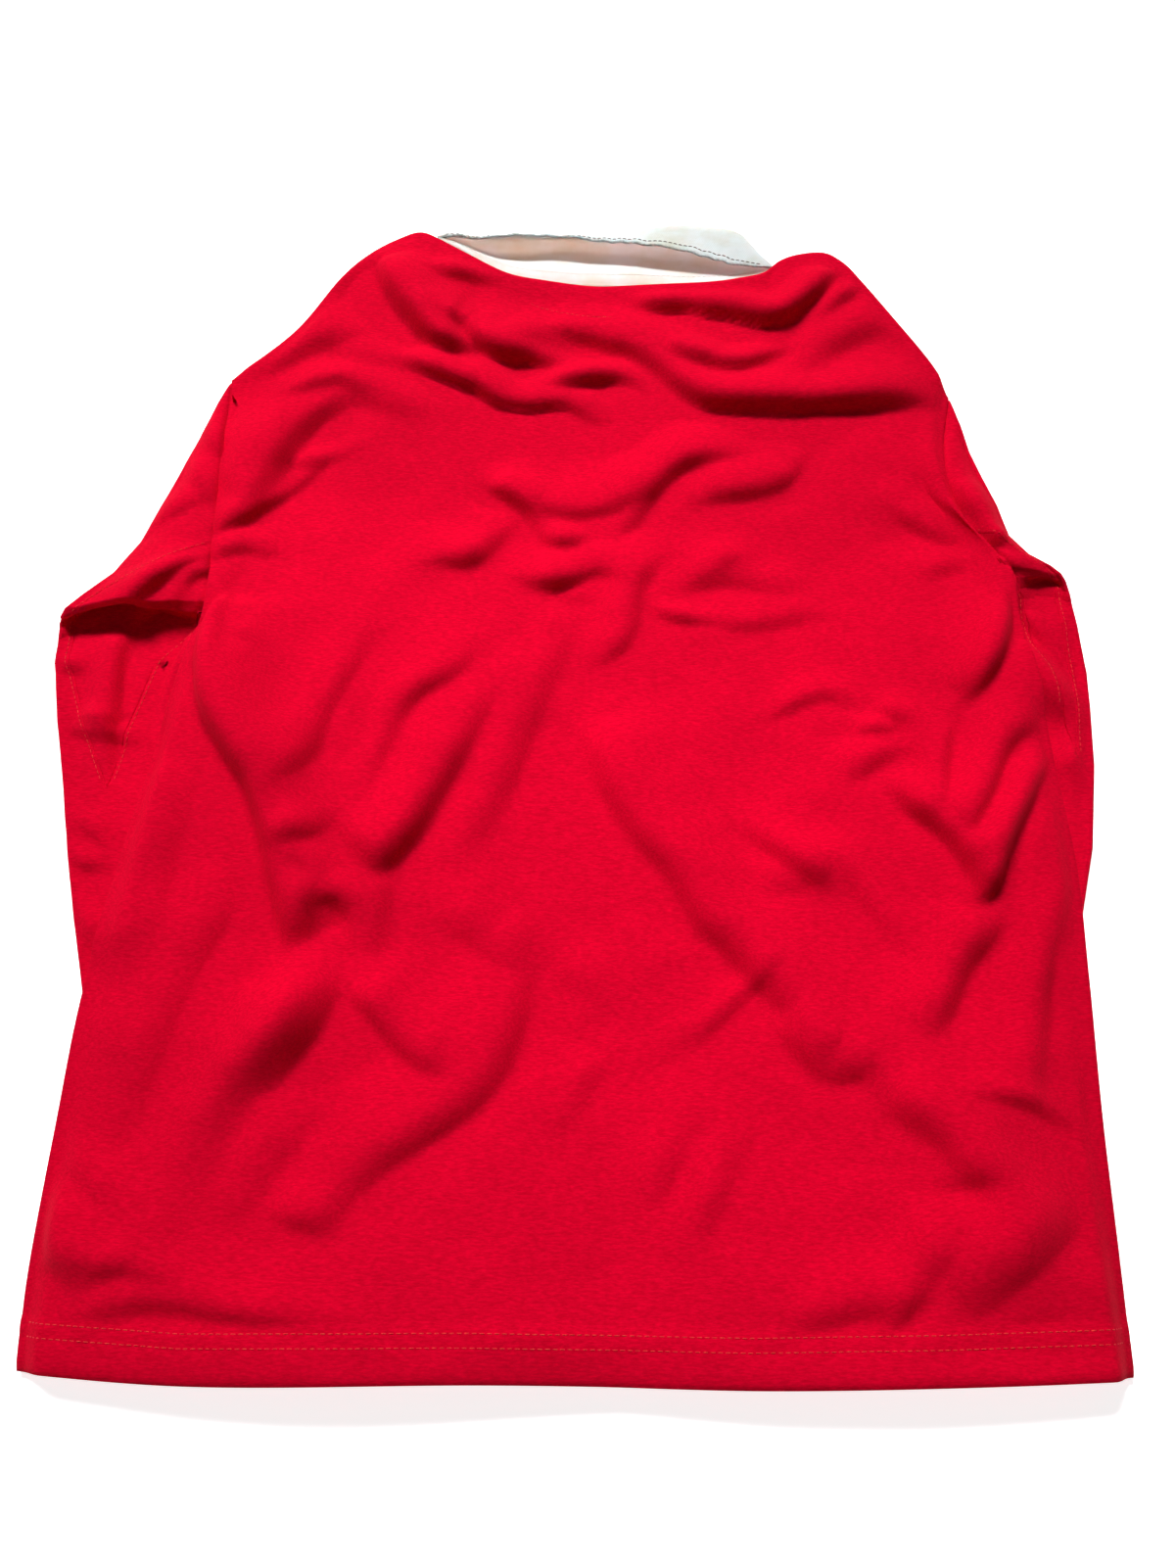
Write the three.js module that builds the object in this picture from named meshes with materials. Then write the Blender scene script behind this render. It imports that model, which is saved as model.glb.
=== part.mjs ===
// A long-sleeved rugby shirt laid face down with its back up, its sleeves brought down beside the
// body and their lower halves tucked under it. Millimetres, +Z up, the hem towards -Y.
// Every cloth piece is a thin wall built on a sheet of points: a grid of places in the middle of
// the cloth, thickened along its own normals.
import * as THREE from 'three';

// Driving dimensions
const JERSEY = 1.5; // wall of the heavy cotton jersey
const TWILL = 2.0; // wall of the two-ply collar
const SEAM = 0.3; // clearance between pieces at a seam
const HEM_LEFT = -285.5; // side seams at the hem
const HEM_RIGHT = 272.5;
const ARMPIT_LEFT = { x: -240, y: 437 };
const ARMPIT_RIGHT = { x: 269, y: 460 };
const FRONT_REACH = 26; // about one cell of the front's grid
const BACK_REACH = 18; // about one cell of the back's grid
const GUSSET_LEAST = 3; // narrowest width of the gusset that is open
const GUSSET_TIP_CUT = 0.3; // share of a ring's step by which the gusset's pointed ends are cut blunt
const CUFF_LENGTH = 62;
const CUFF_TAPER = 5; // how much narrower than the sleeve on each side
const ROLL_DROP = 4; // the folded collar's roll line below the front's neckline
const PLACKET_WIDTH = 34;
const PLACKET_LENGTH = 150;
const BUTTON_DIAMETER = 13;
const BUTTON_THICKNESS = 2;
const BUTTON_COUNT = 3;
const BUTTON_SPACING = 46;
const BUTTON_TOP_MARGIN = 18;
const FRONT_NECK_DEPTH_Y = 604; // lowest point of the front neckline
const PLACKET_X = 6;

// Cloth levels above the floor, at the middle of each wall
const FLOOR_LAYER = JERSEY / 2;
const SECOND_LAYER = FLOOR_LAYER + JERSEY + SEAM;
const TENT_SLOPE = 0.35; // how steeply cloth comes down off what it lies over

const BACK_REST = 3.1; // the back where it lies on the front, which lies on the floor
const SIDE_SETTLE = 0.13; // share of the width over which the cloth settles from a raised side
const TOP_SETTLE = 0.26; // share of the length over which it settles from the raised neck

// Grid sizes
const BACK_GRID = { rows: 38, columns: 31 };
const FRONT_GRID = { rows: 26, columns: 22 };
const COLLAR_GRID = { rows: 11, columns: 26 };
const COLLAR_FRONT_GRID = { across: 4, along: 8 };
const PLACKET_GRID = { rows: 28, columns: 4 };
const SLEEVE_GRID = { rows: 28, under: 3, turn: 2, outer: 4, inner: 2, innerTurn: 1 };

const RED = new THREE.Color(0.62, 0.0, 0.03);
const WHITE = new THREE.Color(0.86, 0.84, 0.8);

// Rows of a table with their columns named
function withColumns(names, rows) {
  return rows.map((row) => Object.fromEntries(names.map((name, k) => [name, row[k]])));
}

// Side seam and armhole of the back, from the hem to the shoulder tip
const BACK_LEFT = [
  { x: HEM_LEFT, y: 0, z: BACK_REST },
  { x: -288, y: 40, z: BACK_REST },
  { x: -286, y: 120, z: 3.6 },
  { x: -281.5, y: 190, z: 7.4 },
  { x: -269, y: 285, z: 7.6 },
  { x: -257, y: 363, z: 8.2 },
  { x: -246, y: 412, z: 11 },
  { x: ARMPIT_LEFT.x, y: ARMPIT_LEFT.y, z: 18 },
  { x: -241, y: 480, z: 17 },
  { x: -243, y: 560, z: 15 },
  { x: -244, y: 611, z: 14 },
];
const BACK_RIGHT = [
  { x: HEM_RIGHT, y: -3, z: BACK_REST },
  { x: 275, y: 50, z: BACK_REST },
  { x: 277.5, y: 120, z: 3.6 },
  { x: 281, y: 200, z: 7.4 },
  { x: 284, y: 262, z: 7.6 },
  { x: 280, y: 330, z: 9 },
  { x: 276, y: 385, z: 13 },
  { x: 271, y: 425, z: 15 },
  { x: ARMPIT_RIGHT.x, y: ARMPIT_RIGHT.y, z: 18 },
  { x: 247, y: 493, z: 17 },
  { x: 237, y: 530, z: 16 },
  { x: 238, y: 556, z: 15 },
  { x: 246, y: 596, z: 14 },
];

// Shoulders and back neckline, from the left shoulder tip to the right one
const BACK_TOP = [
  { x: -244, y: 611, z: 14 },
  { x: -202, y: 648, z: 17 },
  { x: -172.5, y: 692, z: 22 },
  { x: -157, y: 708, z: 26 },
  { x: -137, y: 721, z: 29 },
  { x: -119, y: 728, z: 31 },
  { x: -104, y: 722, z: 30 },
  { x: -84, y: 711, z: 25 },
  { x: -56, y: 697, z: 21 },
  { x: -28, y: 693, z: 18.5 },
  { x: 14, y: 690, z: 18 },
  { x: 60, y: 687.8, z: 18.5 },
  { x: 90, y: 687, z: 20 },
  { x: 107, y: 688.5, z: 23.5 },
  { x: 124, y: 692, z: 28 },
  { x: 136, y: 702, z: 31 },
  { x: 152, y: 707, z: 32 },
  { x: 168.5, y: 707, z: 32 },
  { x: 180, y: 699, z: 30 },
  { x: 190.5, y: 685, z: 25 },
  { x: 211, y: 655, z: 18 },
  { x: 234, y: 620, z: 15 },
  { x: 246, y: 596, z: 14 },
];

// Front neckline (x, y, z), which dips to the placket, flat on the floor, and below it the free edge
// (lx, ly, lz) of the collar's front halves, folded out under the front
const FRONT_NECK = [
  { x: -103, y: 720, z: 22, lx: -150, ly: 690, lz: 13 },
  { x: -88, y: 690, z: 14, lx: -136, ly: 652, lz: 6 },
  { x: -58, y: 640, z: 5, lx: -100, ly: 600, lz: FLOOR_LAYER },
  { x: -18, y: 610, z: 3, lx: -42, ly: 553, lz: FLOOR_LAYER },
  { x: PLACKET_X, y: FRONT_NECK_DEPTH_Y, z: 3, lx: PLACKET_X, ly: 560, lz: FLOOR_LAYER },
  { x: 30, y: 608, z: 3, lx: 54, ly: 552, lz: FLOOR_LAYER },
  { x: 76, y: 634, z: 5, lx: 116, ly: 592, lz: FLOOR_LAYER },
  { x: 108, y: 668, z: 14, lx: 152, ly: 640, lz: 6 },
  { x: 122, y: 690, z: 22, lx: 166, ly: 674, lz: 13 },
];
const COLLAR_FRONTS = [
  { name: 'collar_front_left', stations: FRONT_NECK.slice(0, 4) },
  { name: 'collar_front_right', stations: FRONT_NECK.slice(5) },
];

// Height of the front's edge along the armhole, from the armpit to the shoulder tip
const FRONT_ARMHOLE = [
  { up: 0, z: 8 },
  { up: 12, z: 4 },
  { up: 28, z: FLOOR_LAYER },
  { up: 100, z: FLOOR_LAYER },
  { up: 136, z: 5 },
  { up: 174, z: 11.6 },
];

// Sleeves, a row for each ring from the shoulder tip to the cuff. The outer fold (ox, oy, oz) and
// the inner edge (ix, iy, iz) bound the layer on top, crown lifts its middle and tuck pulls it back
// under the fold at the elbow. The layer beneath runs from the outer fold to (bx, by, bz). Below the
// armpit the ring is closed. The underarm gusset lies between from and to, as shares of the way from
// the outer fold to the inner edge.
const SLEEVE_COLUMNS = [
  'ox', 'oy', 'oz', 'ix', 'iy', 'iz', 'bx', 'by', 'bz', 'crown', 'tuck', 'from', 'to',
];
const SLEEVE_LEFT = withColumns(SLEEVE_COLUMNS, [
  [-246, 609, 12, -245, 607, 14, -245, 607, 11, 0, 0, 1, 1],
  [-257.5, 575, 8, -243.8, 560, 15, -243.8, 560, 3, 4, 0, 1, 1],
  [-278, 515, 8, -242.3, 505, 16, -242.3, 505, FLOOR_LAYER, 6, 0, 1, 1],
  [-290, 482, 8, -242, 478, 16.5, -242, 478, FLOOR_LAYER, 7, 0, 1, 1],
  [-304, 458, 8.5, -242, 460, 17.5, -242, 461, 2, 7, 0, 0.55, 1],
  [-321, 441, 9, -242, 446, 18, -242, 447, 5, 6, 0, 0.22, 1],
  [-331, 431, 9, -242.5, 437, 18, -242.5, 437, 8, 5, 0, 0.14, 1],
  [-334, 425, 8, -245, 432, 15.5, -245, 431, 7.5, 3, 4, 0.13, 1],
  [-336, 420, 6.5, -246, 428, 12.5, -246, 426, 5.5, 0, 17, 0.12, 1],
  [-336.5, 416, 5.5, -246, 424, 9, -246, 420, 3, 0, 22, 0.12, 1],
  [-337, 411, 4.5, -243, 418, 5.5, -243, 414, 1.2, 0, 14, 0.12, 0.9],
  [-337, 398, 3.8, -232, 402, SECOND_LAYER, -232, 402, FLOOR_LAYER, 2, 0, 0.12, 0.62],
  [-329.5, 358, 3.4, -215, 362, SECOND_LAYER, -215, 362, FLOOR_LAYER, 1.5, 0, 0.18, 0.42],
  [-318.5, 314, 3.2, -204, 314, SECOND_LAYER, -204, 314, FLOOR_LAYER, 1, 0, 0.26, 0.26],
  [-306.5, 262, 3, -196, 260, SECOND_LAYER, -196, 260, FLOOR_LAYER, 0.5, 0, 0.3, 0.3],
  [-286, 188, 2, -184, 186, SECOND_LAYER, -184, 186, FLOOR_LAYER, 0, 0, 0.3, 0.3],
  [-258, 104, 1.65, -168, 104, SECOND_LAYER, -168, 104, FLOOR_LAYER, 0, 0, 0.3, 0.3],
]);
const SLEEVE_RIGHT = withColumns(SLEEVE_COLUMNS, [
  [249, 594, 12, 247, 592, 14, 247, 592, 11, 0, 0, 1, 1],
  [256, 554, 8, 240, 552, 15, 240, 552, 3, 3, 0, 1, 1],
  [269, 510, 8, 243.5, 514, 16, 243.5, 514, FLOOR_LAYER, 4, 0, 1, 1],
  [273, 486, 9, 251.5, 491, 16.5, 251.5, 491, FLOOR_LAYER, 4, 0, 1, 1],
  [284, 471, 10, 262.5, 475, 17.5, 262.5, 475, 4, 3, 0, 0.5, 1],
  [297, 463, 10, 269, 466, 18, 269, 466, 7, 2, 0, 0.3, 1],
  [303, 458, 9.5, 271, 460, 18, 271, 460, 8, 1, 0, 0.25, 1],
  [306, 454, 8, 272.5, 455, 15.5, 272.5, 454, 7.5, 0, 2, 0.25, 1],
  [307.5, 449, 6.5, 273.5, 451, 12.5, 273.5, 449, 5.5, 0, 8, 0.25, 1],
  [308.5, 445, 5.5, 274, 447, 9, 274, 443, 3, 0, 11, 0.25, 1],
  [309.5, 440, 4.5, 273.5, 441, 5.5, 273.5, 437, 1.2, 0, 6, 0.25, 0.85],
  [311.5, 424, 3.8, 260, 426, SECOND_LAYER, 260, 426, FLOOR_LAYER, 2, 0, 0.2, 0.6],
  [314, 392, 3.6, 234, 392, SECOND_LAYER, 234, 392, FLOOR_LAYER, 2, 0, 0.16, 0.32],
  [309.5, 330, 3.2, 214, 330, SECOND_LAYER, 214, 330, FLOOR_LAYER, 1, 0, 0.14, 0.14],
  [300.5, 277, 3, 201, 277, SECOND_LAYER, 201, 277, FLOOR_LAYER, 0.5, 0, 0.2, 0.2],
  [284, 222, 2, 188, 222, SECOND_LAYER, 188, 222, FLOOR_LAYER, 0, 0, 0.3, 0.3],
  [252, 118, 1.65, 165, 118, SECOND_LAYER, 165, 118, FLOOR_LAYER, 0, 0, 0.3, 0.3],
]);
const ARMPIT_ROW = 7; // the first closed ring
const LOWER_ROW = 10; // the first ring that the body can lie on

// Largest folds of the back. Each runs through start, middle and end; the cloth stands higher on
// the left of that way, drops by depth over the width steep, and settles back over the width tail.
const FOLDS = [
  { start: [-148, 707], mid: [-124, 668], end: [-84, 645], depth: 10, steep: 12, tail: 30 },
  { start: [-96, 664], mid: [-60, 638], end: [-18, 636], depth: 9, steep: 13, tail: 26 },
  { start: [-128, 634], mid: [-66, 598], end: [2, 590], depth: 9, steep: 10, tail: 26 },
  { start: [-22, 608], mid: [14, 618], end: [50, 590], depth: 6, steep: 9, tail: 18 },
  { start: [-218, 628], mid: [-172, 645], end: [-132, 625], depth: 5, steep: 20, tail: 30 },
  { start: [-219, 532], mid: [-203, 565], end: [-171, 592], depth: 6, steep: 15, tail: 26 },
  { start: [-10, 656], mid: [38, 636], end: [72, 598], depth: 9, steep: 11, tail: 30 },
  { start: [66, 600], mid: [145, 588], end: [236, 592], depth: 10, steep: 13, tail: 36 },
  { start: [58, 636], mid: [96, 622], end: [140, 640], depth: 7, steep: 9, tail: 20 },
  { start: [22, 682], mid: [84, 672], end: [144, 664], depth: 10, steep: 11, tail: 20 },
  { start: [128, 664], mid: [158, 676], end: [182, 708], depth: 10, steep: 18, tail: 20 },
  { start: [-108, 700], mid: [-88, 702], end: [-56, 694], depth: 6, steep: 11, tail: 14 },
  { start: [-65, 531], mid: [-38, 512], end: [2, 489], depth: 7, steep: 11, tail: 24 },
  { start: [-100, 476], mid: [-76, 486], end: [-48, 512], depth: 5, steep: 10, tail: 22 },
  { start: [-30, 462], mid: [-5, 466], end: [20, 458], depth: 6, steep: 10, tail: 22 },
  { start: [-18, 512], mid: [44, 532], end: [96, 552], depth: 6, steep: 12, tail: 24 },
  { start: [78, 519], mid: [114, 527], end: [150, 548], depth: 5, steep: 11, tail: 22 },
  { start: [60, 468], mid: [95, 460], end: [132, 456], depth: 4, steep: 15, tail: 22 },
  { start: [238, 382], mid: [254, 396], end: [264, 416], depth: 6, steep: 11, tail: 16 },
  { start: [220, 291], mid: [243, 320], end: [267, 352], depth: 8, steep: 11, tail: 16 },
  { start: [226, 250], mid: [248, 290], end: [274, 330], depth: 9, steep: 10, tail: 13 },
  { start: [190, 308], mid: [210, 290], end: [222, 272], depth: 6, steep: 9, tail: 18 },
  { start: [193, 177], mid: [208, 210], end: [229, 240], depth: 6, steep: 11, tail: 20 },
  { start: [0, 350], mid: [44, 280], end: [84, 221], depth: 5, steep: 17, tail: 34 },
  { start: [80, 226], mid: [110, 190], end: [144, 150], depth: 6, steep: 15, tail: 28 },
  { start: [-238, 436], mid: [-237, 394], end: [-216, 345], depth: 10, steep: 11, tail: 40 },
  { start: [-226, 358], mid: [-196, 300], end: [-171, 227], depth: 10, steep: 11, tail: 34 },
  { start: [-176, 321], mid: [-156, 356], end: [-142, 404], depth: 5, steep: 13, tail: 24 },
  { start: [-119, 270], mid: [-94, 311], end: [-61, 380], depth: 7, steep: 11, tail: 24 },
  { start: [-99, 212], mid: [-60, 320], end: [-24, 400], depth: 5, steep: 15, tail: 26 },
  { start: [-194, 144], mid: [-163, 172], end: [-151, 214], depth: 8, steep: 16, tail: 26 },
  { start: [-124, 194], mid: [-106, 170], end: [-78, 154], depth: 5, steep: 11, tail: 22 },
  { start: [-124, 87], mid: [-69, 134], end: [-38, 214], depth: 6, steep: 13, tail: 26 },
  { start: [-252, 172], mid: [-236, 202], end: [-203, 257], depth: 4, steep: 15, tail: 26 },
  { start: [164, 132], mid: [190, 112], end: [214, 84], depth: 5, steep: 18, tail: 26 },
  { start: [112, 30], mid: [165, 46], end: [250, 82], depth: 5, steep: 13, tail: 24 },
];

// Back part of the collar, a row for each station from the left neck point to the right one. Its
// section runs back from the neckline over the crest of the stand (cy, cz), down to the floor
// (ly, lz), turns up at the far side (fy, fz) and comes back to the free edge of the leaf (ex, ey, ez).
const COLLAR_COLUMNS = ['nx', 'ny', 'nz', 'cy', 'cz', 'ly', 'lz', 'fy', 'fz', 'ex', 'ey', 'ez'];
const COLLAR = withColumns(COLLAR_COLUMNS, [
  [-102, 724, 30, 727, 30.8, 730.2, 31.8, 733, 33.4, -102, 734.4, 36.2],
  [-90, 716.8, 27, 722, 27.4, 730, 25.5, 736.5, 29, -90, 732, 36],
  [-74, 707.3, 24, 719, 22.5, 737, 9, 746, 13, -73, 726, 31],
  [-56, 698.8, 21.2, 715, 20.5, 741, 4, 751.5, 11, -54, 729, 29],
  [-20, 693.8, 18.5, 716, 18.5, 743, 3, 754, 11, -20, 728.5, 27.5],
  [20, 691.3, 18.2, 714, 18, 741, 3, 753.5, 12, 20, 723.5, 27],
  [60, 689.3, 18.7, 711, 18.5, 737, 5, 752, 14, 60, 717, 27],
  [90, 688.5, 20.2, 706, 20.5, 728, 12, 746, 20, 88, 707.5, 28],
  [107, 690.3, 23.6, 697, 25, 706, 24.5, 713, 29, 107, 706, 35],
  [121, 693.4, 27.4, 696, 28.4, 698.6, 29.6, 701, 31.4, 121, 701.8, 34.2],
]);

const smooth = (t) => {
  const s = Math.min(1, Math.max(0, t));
  return s * s * (3 - 2 * s);
};
const mix = (a, b, t) => a + (b - a) * t;

// A smooth curve through a table's points, read by the share of its length
function edgeCurve(table) {
  const curve = new THREE.CatmullRomCurve3(table.map((row) => new THREE.Vector3(row.x, row.y, row.z)));
  curve.arcLengthDivisions = 400;
  return curve;
}

// A named column of a table at station t, from 0 at the first row to 1 at the last
function column(table, key, t) {
  const place = Math.min(t, 0.999999) * (table.length - 1);
  const i = Math.floor(place);
  return mix(table[i][key], table[i + 1][key], smooth(place - i) * 0.35 + (place - i) * 0.65);
}

// One column of a table read at a place along another, straight between rows
function heightAt(table, along, key, place) {
  const upper = table.findIndex((row) => row[along] >= place);
  if (upper <= 0) return table[upper === 0 ? 0 : table.length - 1][key];
  const [low, high] = [table[upper - 1], table[upper]];
  return mix(low[key], high[key], (place - low[along]) / (high[along] - low[along]));
}

// Height that one fold adds at a place: a steep drop on its right, a long easy slope on its left
function foldHeight(fold, x, y) {
  const [x0, y0] = fold.start;
  const [x1, y1] = fold.end;
  const cx = 2 * fold.mid[0] - (x0 + x1) / 2;
  const cy = 2 * fold.mid[1] - (y0 + y1) / 2;
  const STEPS = 14;
  let best = { distance: Infinity };
  let [px, py] = [x0, y0];
  for (let k = 1; k <= STEPS; k++) {
    const t = k / STEPS;
    const qx = (1 - t) ** 2 * x0 + 2 * t * (1 - t) * cx + t * t * x1;
    const qy = (1 - t) ** 2 * y0 + 2 * t * (1 - t) * cy + t * t * y1;
    const [dx, dy] = [qx - px, qy - py];
    const along = Math.min(1, Math.max(0, ((x - px) * dx + (y - py) * dy) / (dx * dx + dy * dy)));
    const [ox, oy] = [x - px - along * dx, y - py - along * dy];
    const distance = Math.hypot(ox, oy);
    if (distance < best.distance) {
      best = { distance, side: Math.sign(dx * oy - dy * ox), t: (k - 1 + along) / STEPS };
    }
    [px, py] = [qx, qy];
  }
  const across = best.distance * (best.side || 1);
  const rise = smooth(across / fold.steep + 0.5);
  const settle = Math.exp(-((Math.max(0, across - fold.steep / 2) / fold.tail) ** 2));
  const ends = smooth(best.t / 0.22) * smooth((1 - best.t) / 0.22);
  return fold.depth * rise * settle * ends;
}

// A closed wall of the given thickness on a grid of points. keep(i, j) says which cells are cloth.
function wallGeometry(grid, thickness, keep = () => true) {
  const ids = new Map();
  const points = [];
  const idOf = (p) => {
    const key = [p.x, p.y, p.z].map((c) => Math.round(c * 500)).join();
    if (!ids.has(key)) {
      ids.set(key, points.length);
      points.push(p.clone());
    }
    return ids.get(key);
  };
  const faces = [];
  for (let i = 0; i + 1 < grid.length; i++) {
    for (let j = 0; j + 1 < grid[i].length; j++) {
      if (!keep(i, j)) continue;
      const [a, b, c, d] = [grid[i][j], grid[i][j + 1], grid[i + 1][j + 1], grid[i + 1][j]].map(idOf);
      if (a !== b && b !== c && a !== c) faces.push([a, b, c]);
      if (a !== c && c !== d && a !== d) faces.push([a, c, d]);
    }
  }
  const normals = points.map(() => new THREE.Vector3());
  const edges = new Map();
  for (const [a, b, c] of faces) {
    const ab = points[b].clone().sub(points[a]);
    const ac = points[c].clone().sub(points[a]);
    const normal = ab.cross(ac);
    [a, b, c].forEach((v) => normals[v].add(normal));
    [[a, b], [b, c], [c, a]].forEach(([p, q]) => {
      if (!edges.delete(`${q},${p}`)) edges.set(`${p},${q}`, [p, q]);
    });
  }
  const count = points.length;
  const positions = new Float32Array(count * 6);
  points.forEach((p, v) => {
    const half = normals[v].normalize().multiplyScalar(thickness / 2);
    p.clone().add(half).toArray(positions, v * 3);
    p.clone().sub(half).toArray(positions, (count + v) * 3);
  });
  const index = [];
  for (const [a, b, c] of faces) index.push(a, b, c, count + a, count + c, count + b);
  for (const [p, q] of edges.values()) index.push(p, count + p, count + q, p, count + q, q);
  const geometry = new THREE.BufferGeometry();
  geometry.setAttribute('position', new THREE.BufferAttribute(positions, 3));
  geometry.setIndex(index);
  return geometry;
}

const shirt = new THREE.Group();
const cloth = { roughness: 0.92, metalness: 0 };
const redJersey = new THREE.MeshStandardMaterial({ color: RED, ...cloth });
const whiteTwill = new THREE.MeshStandardMaterial({ color: WHITE, ...cloth });
const rubber = new THREE.MeshStandardMaterial({ color: WHITE, roughness: 0.6, metalness: 0 });

function addPiece(name, geometry, material) {
  const mesh = new THREE.Mesh(geometry, material);
  mesh.name = name;
  shirt.add(mesh);
  return mesh;
}

// A grid filled in between four edge curves. Away from raised edges the cloth settles to its
// resting height.
function patch(edges, resting, { rows, columns }) {
  const { bottom, top, left, right } = edges;
  const corners = [left.getPointAt(0), right.getPointAt(0), left.getPointAt(1), right.getPointAt(1)];
  const grid = [];
  for (let i = 0; i <= rows; i++) {
    const v = i / rows;
    const [l, r] = [left.getPointAt(v), right.getPointAt(v)];
    const [nearHem, nearTop] = [1 - smooth(v / TOP_SETTLE), 1 - smooth((1 - v) / TOP_SETTLE)];
    const row = [];
    for (let j = 0; j <= columns; j++) {
      const u = j / columns;
      const [b, t] = [bottom.getPointAt(u), top.getPointAt(u)];
      const blend = (c, west, east, south, north) => {
        const fromSides = l[c] * west + r[c] * east + b[c] * south + t[c] * north;
        const [southWest, southEast, northWest, northEast] = corners.map((corner) => corner[c]);
        const fromSouth = (southWest * west + southEast * east) * south;
        const fromNorth = (northWest * west + northEast * east) * north;
        return fromSides - fromSouth - fromNorth;
      };
      const [nearLeft, nearRight] = [1 - smooth(u / SIDE_SETTLE), 1 - smooth((1 - u) / SIDE_SETTLE)];
      const edge = 1 - (1 - nearLeft - nearRight) * (1 - nearHem - nearTop);
      const height = blend('z', nearLeft, nearRight, nearHem, nearTop) + resting * (1 - edge);
      row.push(new THREE.Vector3(blend('x', 1 - u, u, 1 - v, v), blend('y', 1 - u, u, 1 - v, v), height));
    }
    grid.push(row);
  }
  return grid;
}

const hemEdge = (z) =>
  edgeCurve([
    { x: HEM_LEFT, y: 0, z },
    { x: -200, y: -5, z },
    { x: -60, y: -4.5, z },
    { x: 80, y: -7, z },
    { x: 180, y: -5.5, z },
    { x: HEM_RIGHT, y: -3, z },
  ]);

// The top of a wall, read at sixteen places in each cell
function wallTop(grid, thickness) {
  const shares = [0, 1 / 3, 2 / 3, 1];
  const top = [];
  for (let i = 0; i + 1 < grid.length; i++) {
    for (let j = 0; j + 1 < grid[i].length; j++) {
      for (const a of shares) {
        for (const b of shares) {
          const low = grid[i][j].clone().lerp(grid[i][j + 1], b);
          const high = grid[i + 1][j].clone().lerp(grid[i + 1][j + 1], b);
          const place = low.lerp(high, a);
          place.z += thickness / 2;
          top.push(place);
        }
      }
    }
  }
  return top;
}

// Lifts a sheet clear of the cloth beneath it: full height within reach, then down at the tent slope
function layOver(grid, beneath, reach) {
  for (const p of grid.flat()) {
    for (const q of beneath) {
      const away = Math.max(0, Math.hypot(p.x - q.x, p.y - q.y) - reach);
      p.z = Math.max(p.z, q.z - TENT_SLOPE * away + SEAM + JERSEY / 2);
    }
  }
}

// Height of the front's edge: sewn just under the back's up to the armpit, then along the armhole
function frontEdge(table, armpit) {
  const drop = JERSEY + SEAM + 0.2;
  return table.map((row) => {
    const up = row.y - armpit.y;
    const z = up < 0 ? Math.min(row.z - drop, FRONT_ARMHOLE[0].z) : heightAt(FRONT_ARMHOLE, 'up', 'z', up);
    return { x: row.x, y: row.y, z: Math.max(FLOOR_LAYER, z) };
  });
}

// Front: flat on the floor, lifted where sleeves, cuffs, collar and placket lie under it
function frontPanel(beneath) {
  const shoulder = (row) => ({ x: row.x, y: row.y + 1, z: row.z - JERSEY - SEAM - 0.5 });
  const neckStart = BACK_TOP.findIndex((row) => row.x > FRONT_NECK[0].x - 2);
  const neckEnd = BACK_TOP.findIndex((row) => row.x > FRONT_NECK[FRONT_NECK.length - 1].x);
  const top = edgeCurve([
    ...BACK_TOP.slice(0, neckStart).map(shoulder),
    ...FRONT_NECK,
    ...BACK_TOP.slice(neckEnd + 1).map(shoulder),
  ]);
  const left = edgeCurve([...frontEdge(BACK_LEFT.slice(0, -1), ARMPIT_LEFT), top.getPointAt(0)]);
  const right = edgeCurve([...frontEdge(BACK_RIGHT.slice(0, -1), ARMPIT_RIGHT), top.getPointAt(1)]);
  const edges = { bottom: hemEdge(FLOOR_LAYER), top, left, right };
  const grid = patch(edges, FLOOR_LAYER, FRONT_GRID);
  grid.flat().forEach((p) => p.setZ(Math.max(FLOOR_LAYER, p.z)));
  layOver(grid, beneath, FRONT_REACH);
  addPiece('front', wallGeometry(grid, JERSEY), redJersey);
  return grid;
}

// Loft of the back over the front, from the hem to the neckline
const BACK_LOFT = [
  { y: 0, loft: 0.2 },
  { y: 50, loft: 1 },
  { y: 200, loft: 1.8 },
  { y: 420, loft: 2.2 },
  { y: 560, loft: 3 },
  { y: 640, loft: 2 },
  { y: 690, loft: 0 },
];

// Back: lies on the front along the side seams and hem, lofted between them, with its folds
function backPanel(front) {
  const edges = {
    bottom: hemEdge(BACK_REST),
    top: edgeCurve(BACK_TOP),
    left: edgeCurve(BACK_LEFT),
    right: edgeCurve(BACK_RIGHT),
  };
  const grid = patch(edges, BACK_REST, BACK_GRID);
  layOver(grid, wallTop(front, JERSEY), BACK_REACH);
  grid.forEach((row, i) =>
    row.forEach((p, j) => {
      const [u, v] = [j / BACK_GRID.columns, i / BACK_GRID.rows];
      const inner = smooth(u / 0.07) * smooth((1 - u) / 0.07);
      const ends = smooth((1 - v) / 0.05) * smooth(v / 0.05);
      const folds = FOLDS.reduce((sum, fold) => sum + foldHeight(fold, p.x, p.y), 0);
      p.z += heightAt(BACK_LOFT, 'y', 'loft', p.y) * inner + folds * inner * ends;
    }),
  );
  addPiece('back', wallGeometry(grid, JERSEY), redJersey);
}

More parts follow.
